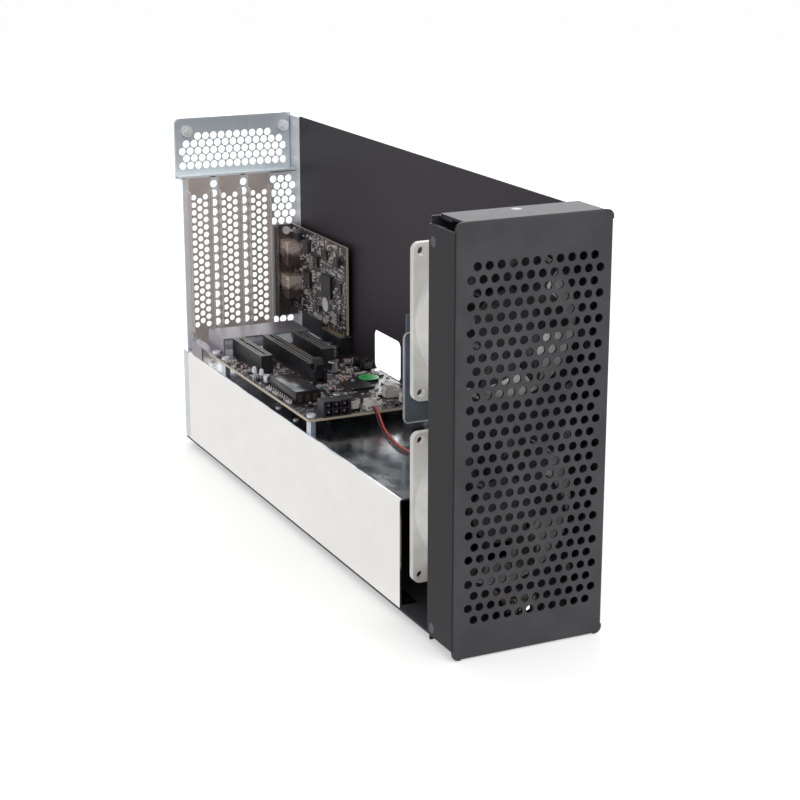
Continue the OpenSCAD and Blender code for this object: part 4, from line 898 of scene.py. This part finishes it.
# Boards: the places of the larger parts are the CAD model's, in millimetres. A row gives the
# near left corner, the size along both axes of the face, and the height. A can's row gives its
# middle, radius and height
BOARD_TOP = 72.7
CANS = [
    (-12, 197, 3.2, 6), (-12, 205, 3.2, 6), (12, 267, 3.2, 7), (-33, 262, 2.5, 5),
    (27, 300, 3.2, 7), (27, 309, 3.2, 7),
]  # fmt: skip
CHIPS = [
    (4, 222, 17, 17, 1.6), (26, 222, 9, 9, 1.2), (26, 200, 7, 12, 1.4), (-12, 218, 7, 7, 1),
    (1.4, 290, 8, 20, 1.4), (-18.6, 300, 7, 10, 1.2), (-16, 265, 6, 6, 1),
]  # fmt: skip
HEADERS = [
    (16, 199, 9, 6, 7), (30, 262, 7, 5, 6), (-37, 268, 2.4, 2.4, 4), (30, 272, 7, 5, 5),
    (-12, 187, 6, 3, 5), (20, 186, 9, 5, 6),
]  # fmt: skip
DARK_HEADERS = (1, 3)
# Two indicator lamps stand on wire legs at the board's left edge: x, y and the top's height
LEG_LAMPS = ((-38.4, 269, 82), (-34.6, 267, 80.5))
STICKER = (24.6, 241.9)
# The x and the y of the screws that hold the board
SCREW_ROWS = (-36.6, 5, 35.5), (186, 256, 323)
CARD_FACE = 35.11
CARD_CHIPS = [
    (318, 104, 16, 16, 2.2), (340, 120, 9, 9, 1.6), (338, 92, 8, 5, 1.2),
    (306, 128, 6, 6, 3), (306, 92, 6, 6, 1.2), (352, 104, 12, 12, 2), (354, 128, 8, 8, 3),
    (326, 128, 10, 7, 1.2), (368, 134, 8, 5, 4), (304, 110, 5, 9, 1),
]  # fmt: skip
CARD_STICKER = (331.5, 98.9)
# The finishes of small parts and of chips, by number
BODY, TIN, RESIN, TANTALUM, INK = range(5)
SMALL_KINDS = (
    # length, width, height, body's finish, with tinned ends
    (1.0, 0.6, 0.5, BODY, True),
    (1.6, 0.9, 0.8, BODY, True),
    (1.6, 0.9, 0.45, RESIN, True),
    (2.0, 1.3, 1.1, BODY, True),
    (1.0, 0.6, 0.35, RESIN, True),
    (3.0, 1.7, 1.4, TANTALUM, True),
    (2.6, 2.6, 1.3, RESIN, False),
)


def small_finishes(prefix):
    """Ceramic is pale and dull, tin shines, resin is black, tantalum orange, ink chalky."""
    return [
        plain(prefix + "_ceramic", linear("#d6c7bb"), roughness=0.4),
        plain(prefix + "_tinned_end", linear("#f6f2f8"), 0.15, 0.3),
        plain(prefix + "_black_resin", linear("#1d1d20"), roughness=0.4),
        plain(prefix + "_tantalum", linear("#b06a35"), roughness=0.45),
        plain(prefix + "_white_ink", linear("#f2eef2"), roughness=0.6),
    ]


def around(u, v, reach):
    """The two corners of a square about a place."""
    return (u - reach, v - reach), (u + reach, v + reach)


def on_board(bm, low, high, rise, paint, lift=0.0, soft=0.0):
    """A block that stands on the backplane between two places."""
    cube(bm, (*low, BOARD_TOP + lift), (*high, BOARD_TOP + rise), soft, paint=paint)


def on_card(bm, low, high, rise, paint, lift=0.0, soft=0.0):
    """A block that stands on the host card's face between two places in y and z."""
    cube(bm, (CARD_FACE - rise, *low), (CARD_FACE - lift, *high), soft, paint=paint)


def mounted(bm, put_block, u, v, turned_round, kind):
    """One small soldered part about a place on a board's face."""
    long, wide, high, paint, ends = SMALL_KINDS[kind]
    half, end_share = long / 2, 0.22
    blocks = [(-half, half, wide, high, paint)]
    if ends:
        inner = half - long * end_share
        blocks = [
            (-inner, inner, wide * 0.94, high * 0.96, paint),
            (-half, -inner, wide, high, TIN),
            (inner, half, wide, high, TIN),
        ]
    for start, end, w, h, ink in blocks:
        a, b = (start, -w / 2), (end, w / 2)
        if turned_round:
            a, b = a[::-1], b[::-1]
        put_block(bm, (u + a[0], v + a[1]), (u + b[0], v + b[1]), h, ink)


def scatter(bm, put_block, count, field, taken, seed, kinds, ink_share=0.3):
    """Strews small parts over a board's face, clear of what is there, on a 0.5 mm raster."""
    dice = random.Random(seed)
    (u0, v0), (u1, v1) = field
    taken = list(taken)
    gap, between_rows, ink_wide = 0.25, 0.7, 0.15
    for _ in range(count * 20):
        if count <= 0:
            break
        kind = dice.choice(kinds)
        rows = dice.choice((1, 1, 2, 3, 4))
        turned_round = dice.random() < 0.5
        du, dv = SMALL_KINDS[kind][:2]
        step_u, step_v = 0, dv + between_rows
        if turned_round:
            du, dv = dv, du
            step_u, step_v = du + between_rows, 0
        wide_u, wide_v = du + (rows - 1) * step_u, dv + (rows - 1) * step_v
        u = round(dice.uniform(u0, u1 - wide_u) * 2) / 2
        v = round(dice.uniform(v0, v1 - wide_v) * 2) / 2
        end_u, end_v = u + wide_u, v + wide_v
        if any(
            u < b[0] + gap and end_u > a[0] - gap and v < b[1] + gap and end_v > a[1] - gap
            for a, b in taken
        ):
            continue
        taken.append(((u, v), (end_u, end_v)))
        for row in range(rows):
            place = u + du / 2 + row * step_u, v + dv / 2 + row * step_v
            mounted(bm, put_block, *place, turned_round, kind)
            count -= 1
        if dice.random() < ink_share:
            corner = u - gap, v - gap
            put_block(bm, corner, (u - gap + ink_wide, end_v + gap), 0.03, INK)
            put_block(bm, corner, (end_u + gap, v - gap + ink_wide), 0.03, INK)


def legged(bm, put_block, low, size, rise, pitch):
    """A moulded chip with a dimple at one corner and gull-wing legs: on four sides where it is
    square, and on two where it isn't."""
    (u, v), (w, l) = low, size
    reach, inside, leg_wide, leg_high, margin = 0.9, 0.1, 0.35, 0.3, 0.5
    ends = (u + reach, v + reach), (u + w - reach, v + l - reach)
    put_block(bm, *ends, rise, RESIN, lift=0.12, soft=0.18)
    dimple = around(u + reach + 1.1, v + reach + 1.1, 0.4)
    put_block(bm, *dimple, rise + 0.02, INK, lift=rise - 0.1)
    for upright in (True, False) if abs(w - l) < 1 else (True,):
        (p0, long), (q0, deep) = ((v, l), (u, w)) if upright else ((u, w), (v, l))
        sides = (q0, q0 + reach + inside), (q0 + deep - reach - inside, q0 + deep)
        for k in range(int((long - 2 * reach - 0.6) / pitch)):
            p = p0 + reach + margin + k * pitch
            for start, end in sides:
                a, b = (start, p), (end, p + leg_wide)
                if not upright:
                    a, b = a[::-1], b[::-1]
                put_block(bm, a, b, leg_high, TIN)


def can(bm, x, y, radius, height):
    """A surface-mount electrolytic capacitor: base, rolled can, dark mark on its top."""
    on_board(bm, *around(x, y, radius), 0.7, 1, soft=0.5)
    r = radius * 0.94
    turned(
        bm,
        (x, y, BOARD_TOP),
        UP,
        [(0, 0.5), (r, 0.5), (r, 1.3), (r - 0.25, 1.5), (r - 0.25, 1.7), (r, 1.9),
         (r, height - 0.3), (r - 0.3, height), (0, height)],
        28,
    )  # fmt: skip
    mark = (x - r * 0.6, y - r * 0.75), (x + r * 0.6, y - r * 0.35)
    on_board(bm, *mark, height + 0.01, 2, lift=height - 0.05)


def shroud(bm, low, size, ways, paint, pin_paint):
    """An open header: a floor, four walls and a row of square pins."""
    (x, y), (w, l, h) = low, size
    wall, floor = 0.7, 1.2
    for near, far, top in (
        ((x, y), (x + w, y + l), floor),
        ((x, y), (x + wall, y + l), h),
        ((x + w - wall, y), (x + w, y + l), h),
        ((x, y), (x + w, y + wall), h * 0.8),
        ((x, y + l - wall), (x + w, y + l), h),
    ):
        on_board(bm, near, far, top, paint, soft=0.1)
    step = (w - 2 * wall) / ways
    for k in range(ways):
        place = around(x + wall + (k + 0.5) * step, y + l / 2, 0.3)
        on_board(bm, *place, h * 0.85, pin_paint, soft=0.08)


def flat_boxes(*nodes):
    """The places that CAD nodes take up on the backplane."""
    return [((low.x, low.y), (high.x, high.y)) for low, high in (span(n) for n in nodes)]


class CHASSIS_OT_backplane(ChassisPart, bpy.types.Operator):
    """The backplane board and what is soldered to it"""

    bl_idname = "chassis.backplane"
    bl_label = "Backplane"

    def execute(self, context):
        mask = solder_mask("black_solder_mask", self.tint.mask, self.tint.track, (0, 1))
        dress(mask, "backplane_board")
        dress(satin_zinc("plated_hex_post", linear("#cfd8e2"), 0.25, 0.7), "standoffs")
        nylon = moulded("black_nylon", self.tint.slot, 0.36)
        dress(nylon, "power_connector", "connector_block")
        # Resin is dull and black, tin and foil shine, natural nylon is milky, ink is chalky,
        # copper is warm
        epoxy = plain("moulded_epoxy", linear("#17181b"), roughness=0.42)
        tinned = plain("tinned_copper", linear("#c9c9cd"), 1.0, 0.28)
        natural = moulded("natural_nylon", linear("#efeeea"), 0.35)
        ink = plain("white_ink", linear("#dcd8dc"), roughness=0.6)
        copper = plain("copper_winding", linear("#b5643a"), 0.8, 0.35)
        foil = plain("aluminium_can", linear("#cfd1d3"), 1.0, 0.28)

        bm = bmesh.new()
        for x, y, w, l, h in CHIPS:
            legged(bm, on_board, (x, y), (w, l), h, self.size.leg / MM)
        finishes = [ink, tinned, epoxy, ink, ink]
        piece("chips", bm, finishes, replaces=["board_chips"])

        bm = bmesh.new()
        for place in CANS:
            can(bm, *place)
        finishes = [foil, epoxy, epoxy]
        piece("electrolytic_cans", bm, finishes, replaces=["capacitors"])

        bm = bmesh.new()
        for k, (x, y, w, l, h) in enumerate(HEADERS):
            dark = k in DARK_HEADERS
            if w < 3:
                on_board(bm, (x, y), (x + w, y + l), h * 0.4, 1, soft=0.1)
                for across in (0.6, 1.8):
                    on_board(bm, *around(x + across, y + 1.15, 0.25), h, 2)
            else:
                ways = 2 if w < 8 else 4
                shroud(bm, (x, y), (w, l, h), ways, 1 if dark else 0, 3 if dark else 2)
        finishes = [natural, nylon, tinned, copper]
        piece("headers", bm, finishes, replaces=["small_connectors"])

        low, high = span("fan_plug")
        bm = bmesh.new()
        cube(bm, low, (high.x, high.y, low.z + 3.4), 0.25)
        upper = (low.x + 0.5, low.y + 1.2, low.z + 3.2), (high.x - 0.5, high.y, high.z)
        cube(bm, *upper, 0.25)
        for k in range(3):
            x = low.x + 1.5 + k * 2.3
            window = (x - 0.5, low.y - 0.02, low.z + 1.2), (x + 0.5, low.y + 0.5, low.z + 2.4)
            cube(bm, *window, paint=1)
        ridge = (low.x + 2.4, low.y + 0.6, low.z + 3.3), (high.x - 2.4, high.y - 0.6, high.z)
        cube(bm, *ridge, 0.2)
        finishes = [natural, epoxy]
        piece("fan_plug_housing", bm, finishes, replaces=["fan_plug"])

        low, high = span("power_connector")
        across, up = 4.9, 4.2
        bm = bmesh.new()
        for k in range(6):
            x = (low.x + high.x) / 2 + (k % 3 - 1) * across
            z = low.z + 2.6 + (k // 3) * up
            rod(bm, (x, low.y + 1.2, z), (x, low.y + 6.5, z), 0.9, sides=12)
        piece("connector_pins", bm, [tinned])

        # The converter is black, its glossy lid mirrors the room
        low, high = span("power_module")
        bm = bmesh.new()
        cube(bm, low, (high.x, high.y, high.z - 0.6), 0.5, 2, paint=1)
        rim = 0.4
        lid = (low.x + rim, low.y + rim, high.z - 0.7), (high.x - rim, high.y - rim, high.z)
        cube(bm, *lid, 0.3, 2)
        rivet = [(0, 0), (0.55, 0), (0.45, 0.12), (0, 0.12)]
        for k in range(3):
            for x in (low.x + 1.2, high.x - 1.2):
                turned(bm, (x, low.y + 6 + k * 13, high.z - 0.1), UP, rivet, 12, paint=1)
        gloss = plain("glossy_lid", linear("#4a4a4d"), 0.6, 0.2)
        shield = plain("dark_shield", linear("#2a282a"), 0.3, 0.3)
        piece("converter", bm, [gloss, shield], replaces=["power_module"])

        # A comb of pale resistor packs and wire ends along it, and three windows in front
        bm = bmesh.new()
        for k in range(11):
            y = low.y + 2 + k * (high.y - low.y - 5) / 10
            on_board(bm, (low.x - 3.6, y), (low.x - 1.4, y + 1.3), 1.5, k % 3 // 2, soft=0.1)
            foot = Vector((low.x - 1.5, y + 0.65, BOARD_TOP))
            rod(bm, foot, foot + Vector((0, 0, 2.6)), 0.3, sides=8)
        for k in range(3):
            x = low.x + 1.6 + k * (high.x - low.x - 2) / 3
            cube(bm, (x, low.y - 0.05, low.z + 1), (x + 2.6, low.y + 0.4, high.z - 2), 0.1, paint=2)
        # Alumina is pale and dull, a varnished core is brown
        pale = plain("alumina_pack", linear("#e4dcdc"), roughness=0.4)
        amber = plain("varnished_core", linear("#4d3c35"), roughness=0.35)
        piece("converter_trim", bm, [pale, tinned, amber])

        dome = [
            (0, 0), (1.6, 0), (1.6, 0.7), (1.35, 0.8), (1.35, 2.4), (1.1, 3.2), (0.6, 3.6),
            (0, 3.7),
        ]  # fmt: skip
        bm = bmesh.new()
        for x, y, top in LEG_LAMPS:
            for dx in (-0.6, 0.6):
                foot, head = (x + dx, y, BOARD_TOP - 0.5), (x + dx * 0.8, y, top - 3)
                rod(bm, foot, head, 0.22, sides=8, paint=1)
            turned(bm, (x, y, top - 3.6), UP, dome, 20)
        # Clear epoxy: a glassy highlight
        clear = {"roughness": 0.1, "Specular_IOR_Level": 0.6}
        lens = plain("clear_epoxy_lens", linear("#eef0f4"), **clear)
        piece("leg_lamps", bm, [lens, tinned])

        # A plain round sticker lies on a flat package
        thick = 1.7
        top = (*STICKER, BOARD_TOP + thick)
        bm = bmesh.new()
        on_board(bm, *around(*STICKER, 4.6), thick, 2, soft=0.2)
        disc(bm, top, UP, 6.2, 0, 0.12, 48, paint=1)
        disc(bm, top, UP, 5.3, 0.1, 0.16, 48)
        # Smooth coated paper: even and a little glossy
        green = plain("green_label_paper", linear("#12b04c"), roughness=0.45)
        rim = plain("pale_green_label_rim", linear("#58dc8c"), roughness=0.45)
        piece("board_sticker", bm, [green, rim, epoxy])

        taken = flat_boxes(
            "slot_1", "slot_2", "slot_3", "host_slot", "slot_latch", "bridging_plate",
            "power_connector", "power_module", "fan_plug", "host_card_board",
        )  # fmt: skip
        taken += [around(x, y, r) for x, y, r, _ in CANS]
        taken += [((x, y), (x + w, y + l)) for x, y, w, l, _ in (*CHIPS, *HEADERS)]
        taken += [around(x, y, 3.4) for x in SCREW_ROWS[0] for y in SCREW_ROWS[1]]
        # The sticker and the leg lamps
        taken += [((19, 238), (32, 251)), ((-40, 265), (-33, 271))]
        low, high = span("backplane_board")
        field = ((low.x + 0.8, low.y + 0.8), (high.x - 0.8, high.y - 0.8))
        kinds = (0, 0, 1, 1, 2, 2, 3, 4, 5, 6)
        bm = bmesh.new()
        scatter(bm, on_board, self.size.parts, field, taken, 7, kinds)
        piece("board_small_parts", bm, small_finishes("board"))
        return {"FINISHED"}


# A slot's sizes across and along, in millimetres from its middle and its ends
SLOT_HALF, GROOVE_HALF = 3.8, 0.92
SLOT_RIM = 0.5
LONG_SLOT = 77
KEY_BACK, KEY_REACH = 13.45, 1.6
RIB_PITCH = 3.2


def both_sides(bm, middle, inner, outer, near, far, soft=0.0, paint=0):
    """The same block on both sides of a slot's middle: near and far are places in y and z."""
    for side in (-1, 1):
        a, b = sorted((middle + side * inner, middle + side * outer))
        cube(bm, (a, *near), (b, *far), soft, paint=paint)


class CHASSIS_OT_slots(ChassisPart, bpy.types.Operator):
    """Card slots, their contacts and the latch"""

    bl_idname = "chassis.slots"
    bl_label = "Slots"

    def execute(self, context):
        nylon = moulded("nylon_slot_body", self.tint.slot, 0.34)
        rubbed_and_highlit = moulded("nylon_slot_rim_highlight", linear("#a4a4a2"), 0.3)
        gilt = plain("gilt_spring_contact", linear("#ded6c8"), 0.5, 0.3)
        dress(nylon, "slot_2", "slot_latch")
        pitch = self.size.contact / MM
        for name in ("slot_1", "slot_2", "slot_3", "host_slot"):
            low, high = span(name)
            middle, front, rear, top = (low.x + high.x) / 2, low.y, high.y, high.z
            if name == "slot_2":
                # This node reaches on in front of the slot's body, to hold the latch
                front = rear - LONG_SLOT
            bm = bmesh.new()
            for k in range(int((rear - front - 8) / pitch)):
                y = front + 4 + k * pitch
                if abs(y + 0.25 - (rear - KEY_BACK)) >= KEY_REACH:
                    ends = (y, top - 6), (y + 0.5, top - 0.9)
                    both_sides(bm, middle, GROOVE_HALF - 0.3, GROOVE_HALF, *ends, paint=1)
            # Pale strips along the tops of the walls, a painted highlight where the moulded rim
            # catches the light, and the ribs along both sides
            foot, head = top - 0.15, top + 0.05
            ends = (front + 0.4, foot), (rear - 0.4, head)
            for inner in (GROOVE_HALF, SLOT_HALF - SLOT_RIM):
                both_sides(bm, middle, inner, inner + SLOT_RIM, *ends)
            for k in range(int((rear - front - 3) / RIB_PITCH)):
                y = front + 2 + k * RIB_PITCH
                ends = (y, top - 9.5), (y + 1.3, top - 0.9)
                both_sides(bm, middle, 3.7, 4.05, *ends, soft=0.12, paint=2)
            # The same pale strips across both ends: a painted highlight
            for y in (front + 0.05, rear - 0.4):
                ends = (middle - SLOT_HALF, y, foot), (middle + SLOT_HALF, y + SLOT_RIM, head)
                cube(bm, *ends)
            piece(name + "_contacts", bm, [rubbed_and_highlit, gilt, nylon])
        dress(nylon, "slot_1", "slot_3", "host_slot")
        return {"FINISHED"}


class CHASSIS_OT_host_card(ChassisPart, bpy.types.Operator):
    """The host card, its ports and its bracket"""

    bl_idname = "chassis.host_card"
    bl_label = "Host card"

    def execute(self, context):
        mask = solder_mask("card_solder_mask", self.tint.mask, self.tint.track, (1, 2))
        dress(mask, "host_card_board")
        # The shells' dark colour is painted shade and their pale one a painted highlight
        dress(shell_with_painted_highlight("port_shell_painted_highlight", linear("#6a5c57"), linear("#fbe9de")), "host_ports")
        # The dark brown tint is a painted reflection of the dark card beside the bracket
        dress(satin_zinc("nickel_painted_dark_reflection", linear("#7b706b"), 0.26, 0.5), "host_bracket")
        # Resin is dull and black, tin shines, ink is chalky, ferrite is dark grey and dry
        epoxy = plain("card_epoxy", linear("#1b1c1f"), roughness=0.4)
        tinned = plain("card_tinned_copper", linear("#c9c9cd"), 1.0, 0.28)
        ink = plain("card_white_ink", linear("#dcd8dc"), roughness=0.6)
        ferrite = plain("ferrite", linear("#34343a"), roughness=0.5)
        bm = bmesh.new()
        for y, z, w, l, h in CARD_CHIPS:
            if h >= 3:
                # A choke: a ferrite block with a tinned end above and below
                on_card(bm, (y, z), (y + w, z + l), h, 3, soft=0.5)
                for foot in (z - 0.2, z + l - 0.4):
                    on_card(bm, (y + w * 0.2, foot), (y + w * 0.8, foot + 0.6), 0.5, TIN)
            else:
                legged(bm, on_card, (y, z), (w, l), h, self.size.leg / MM)
        finishes = [ink, tinned, epoxy, ferrite, ink]
        piece("card_chips", bm, finishes, replaces=["host_parts"])

        # A plain round sticker of smooth, white coated paper
        bm = bmesh.new()
        disc(bm, (CARD_FACE, *CARD_STICKER), (-1, 0, 0), 4.6, 0, 0.14, 40)
        white = plain("white_label_paper", linear("#f0f0f3"), roughness=0.5)
        piece("card_sticker", bm, [white])

        margin = 0.3
        taken = [
            ((y - margin, z - margin), (y + w + margin, z + l + margin))
            for y, z, w, l, _ in CARD_CHIPS
        ]
        taken += [((326.6, 94), (336.4, 103.8))]
        low, high = span("host_ports")
        taken += [((low.y, low.z), (high.y, high.z))]
        low, high = span("host_card_board")
        field = ((low.y + 1, 87), (high.y - 2, high.z - 1))
        kinds = (0, 0, 0, 1, 1, 1, 2, 3, 4, 4)
        bm = bmesh.new()
        scatter(bm, on_card, self.size.card_parts, field, taken, 5, kinds, 0.6)
        # Three tantalum capacitors in a row at the upper edge
        for k in range(3):
            mounted(bm, on_card, 309 + k * 3.0, 131.7 - k * 0.2, True, 5)
        piece("card_small_parts", bm, small_finishes("card"))

        # Gilt fingers on the tab that stands in the slot
        bm = bmesh.new()
        for k in range(18):
            y = 305.2 + k * 1.2
            on_card(bm, (y, low.z + 1), (y + 0.7, 85.5), 0.05, 0)
        gilt = plain("gilt_finger", linear("#d8b56a"), 1.0, 0.22)
        piece("card_fingers", bm, [gilt])
        return {"FINISHED"}


class CHASSIS_OT_mid_bracket(ChassisPart, bpy.types.Operator):
    """The black bracket in front of the board"""

    bl_idname = "chassis.mid_bracket"
    bl_label = "Mid bracket"

    def execute(self, context):
        # The coat's blue-grey tint stands in for the dark reflection on the bracket's face: a
        # painted reflection, with paler edges partly as a painted highlight
        coat = powder_coat("coated_bracket", linear("#646f76"), linear("#aab4bb"))
        dress(coat, "mid_bracket")
        # Near-white strips along the pressed rim: a painted highlight, the bright line where the
        # rim catches the light
        low, high = span("mid_bracket")
        top = high.z - 10
        proud, round_in, middle_radius = 0.06, 3.6, 3.2
        front = low.y - proud
        left, right = low.x + round_in, high.x - round_in
        bm = bmesh.new()
        ends = (low.x - proud, front, low.z + round_in), (low.x + 1.1, low.y + 0.4, top - round_in)
        cube(bm, *ends, 0.05)
        for foot, head in ((low.z, low.z + 0.9), (top - 0.7, top)):
            cube(bm, (left, front, foot), (right, low.y + 0.2, head), 0.05)
        for z, start in ((low.z + round_in, 180), (top - round_in, 90)):
            around_corner = []
            for k in range(7):
                turn = math.radians(start + 15 * k)
                x = left + middle_radius * math.cos(turn)
                around_corner.append((x, front + 0.1, z + middle_radius * math.sin(turn)))
            for ends in zip(around_corner, around_corner[1:]):
                rod(bm, *ends, 0.4, sides=8)
        rim = satin_zinc("painted_highlight_zinc_rim", linear("#f2f6fa"), 0.28, 0.2)
        piece("bracket_rim_highlight", bm, [rim])
        return {"FINISHED"}


PARTS = (
    CHASSIS_OT_stage,
    CHASSIS_OT_leads,
    CHASSIS_OT_black_sheet,
    CHASSIS_OT_zinc_sheet,
    CHASSIS_OT_fans,
    CHASSIS_OT_power_supply,
    CHASSIS_OT_backplane,
    CHASSIS_OT_slots,
    CHASSIS_OT_host_card,
    CHASSIS_OT_mid_bracket,
)


class CHASSIS_PT_parts(bpy.types.Panel):
    """The chassis's sizes, colours and pieces"""

    bl_label = "Expansion chassis"
    bl_idname = "CHASSIS_PT_parts"
    bl_space_type = "VIEW_3D"
    bl_region_type = "UI"
    bl_category = "Chassis"

    def draw(self, context):
        for part in PARTS:
            self.layout.operator(part.bl_idname)
        for group in ("chassis_sizes", "chassis_colours", "chassis_stage"):
            held = getattr(context.scene, group)
            box = self.layout.box()
            for name in held.bl_rna.properties.keys():
                if name not in {"rna_type", "name"}:
                    box.prop(held, name)


GROUPS = {
    "chassis_colours": ChassisColours,
    "chassis_sizes": ChassisSizes,
    "chassis_stage": ChassisStage,
}


def register():
    for made in (*GROUPS.values(), *PARTS, CHASSIS_PT_parts):
        bpy.utils.register_class(made)
    for name, group in GROUPS.items():
        setattr(bpy.types.Scene, name, bpy.props.PointerProperty(type=group))


def unregister():
    for name in GROUPS:
        delattr(bpy.types.Scene, name)
    for made in reversed((*GROUPS.values(), *PARTS, CHASSIS_PT_parts)):
        bpy.utils.unregister_class(made)


def main():
    register()
    for part in PARTS:
        group, name = part.bl_idname.split(".")
        getattr(getattr(bpy.ops, group), name)()


if __name__ == "__main__":
    main()
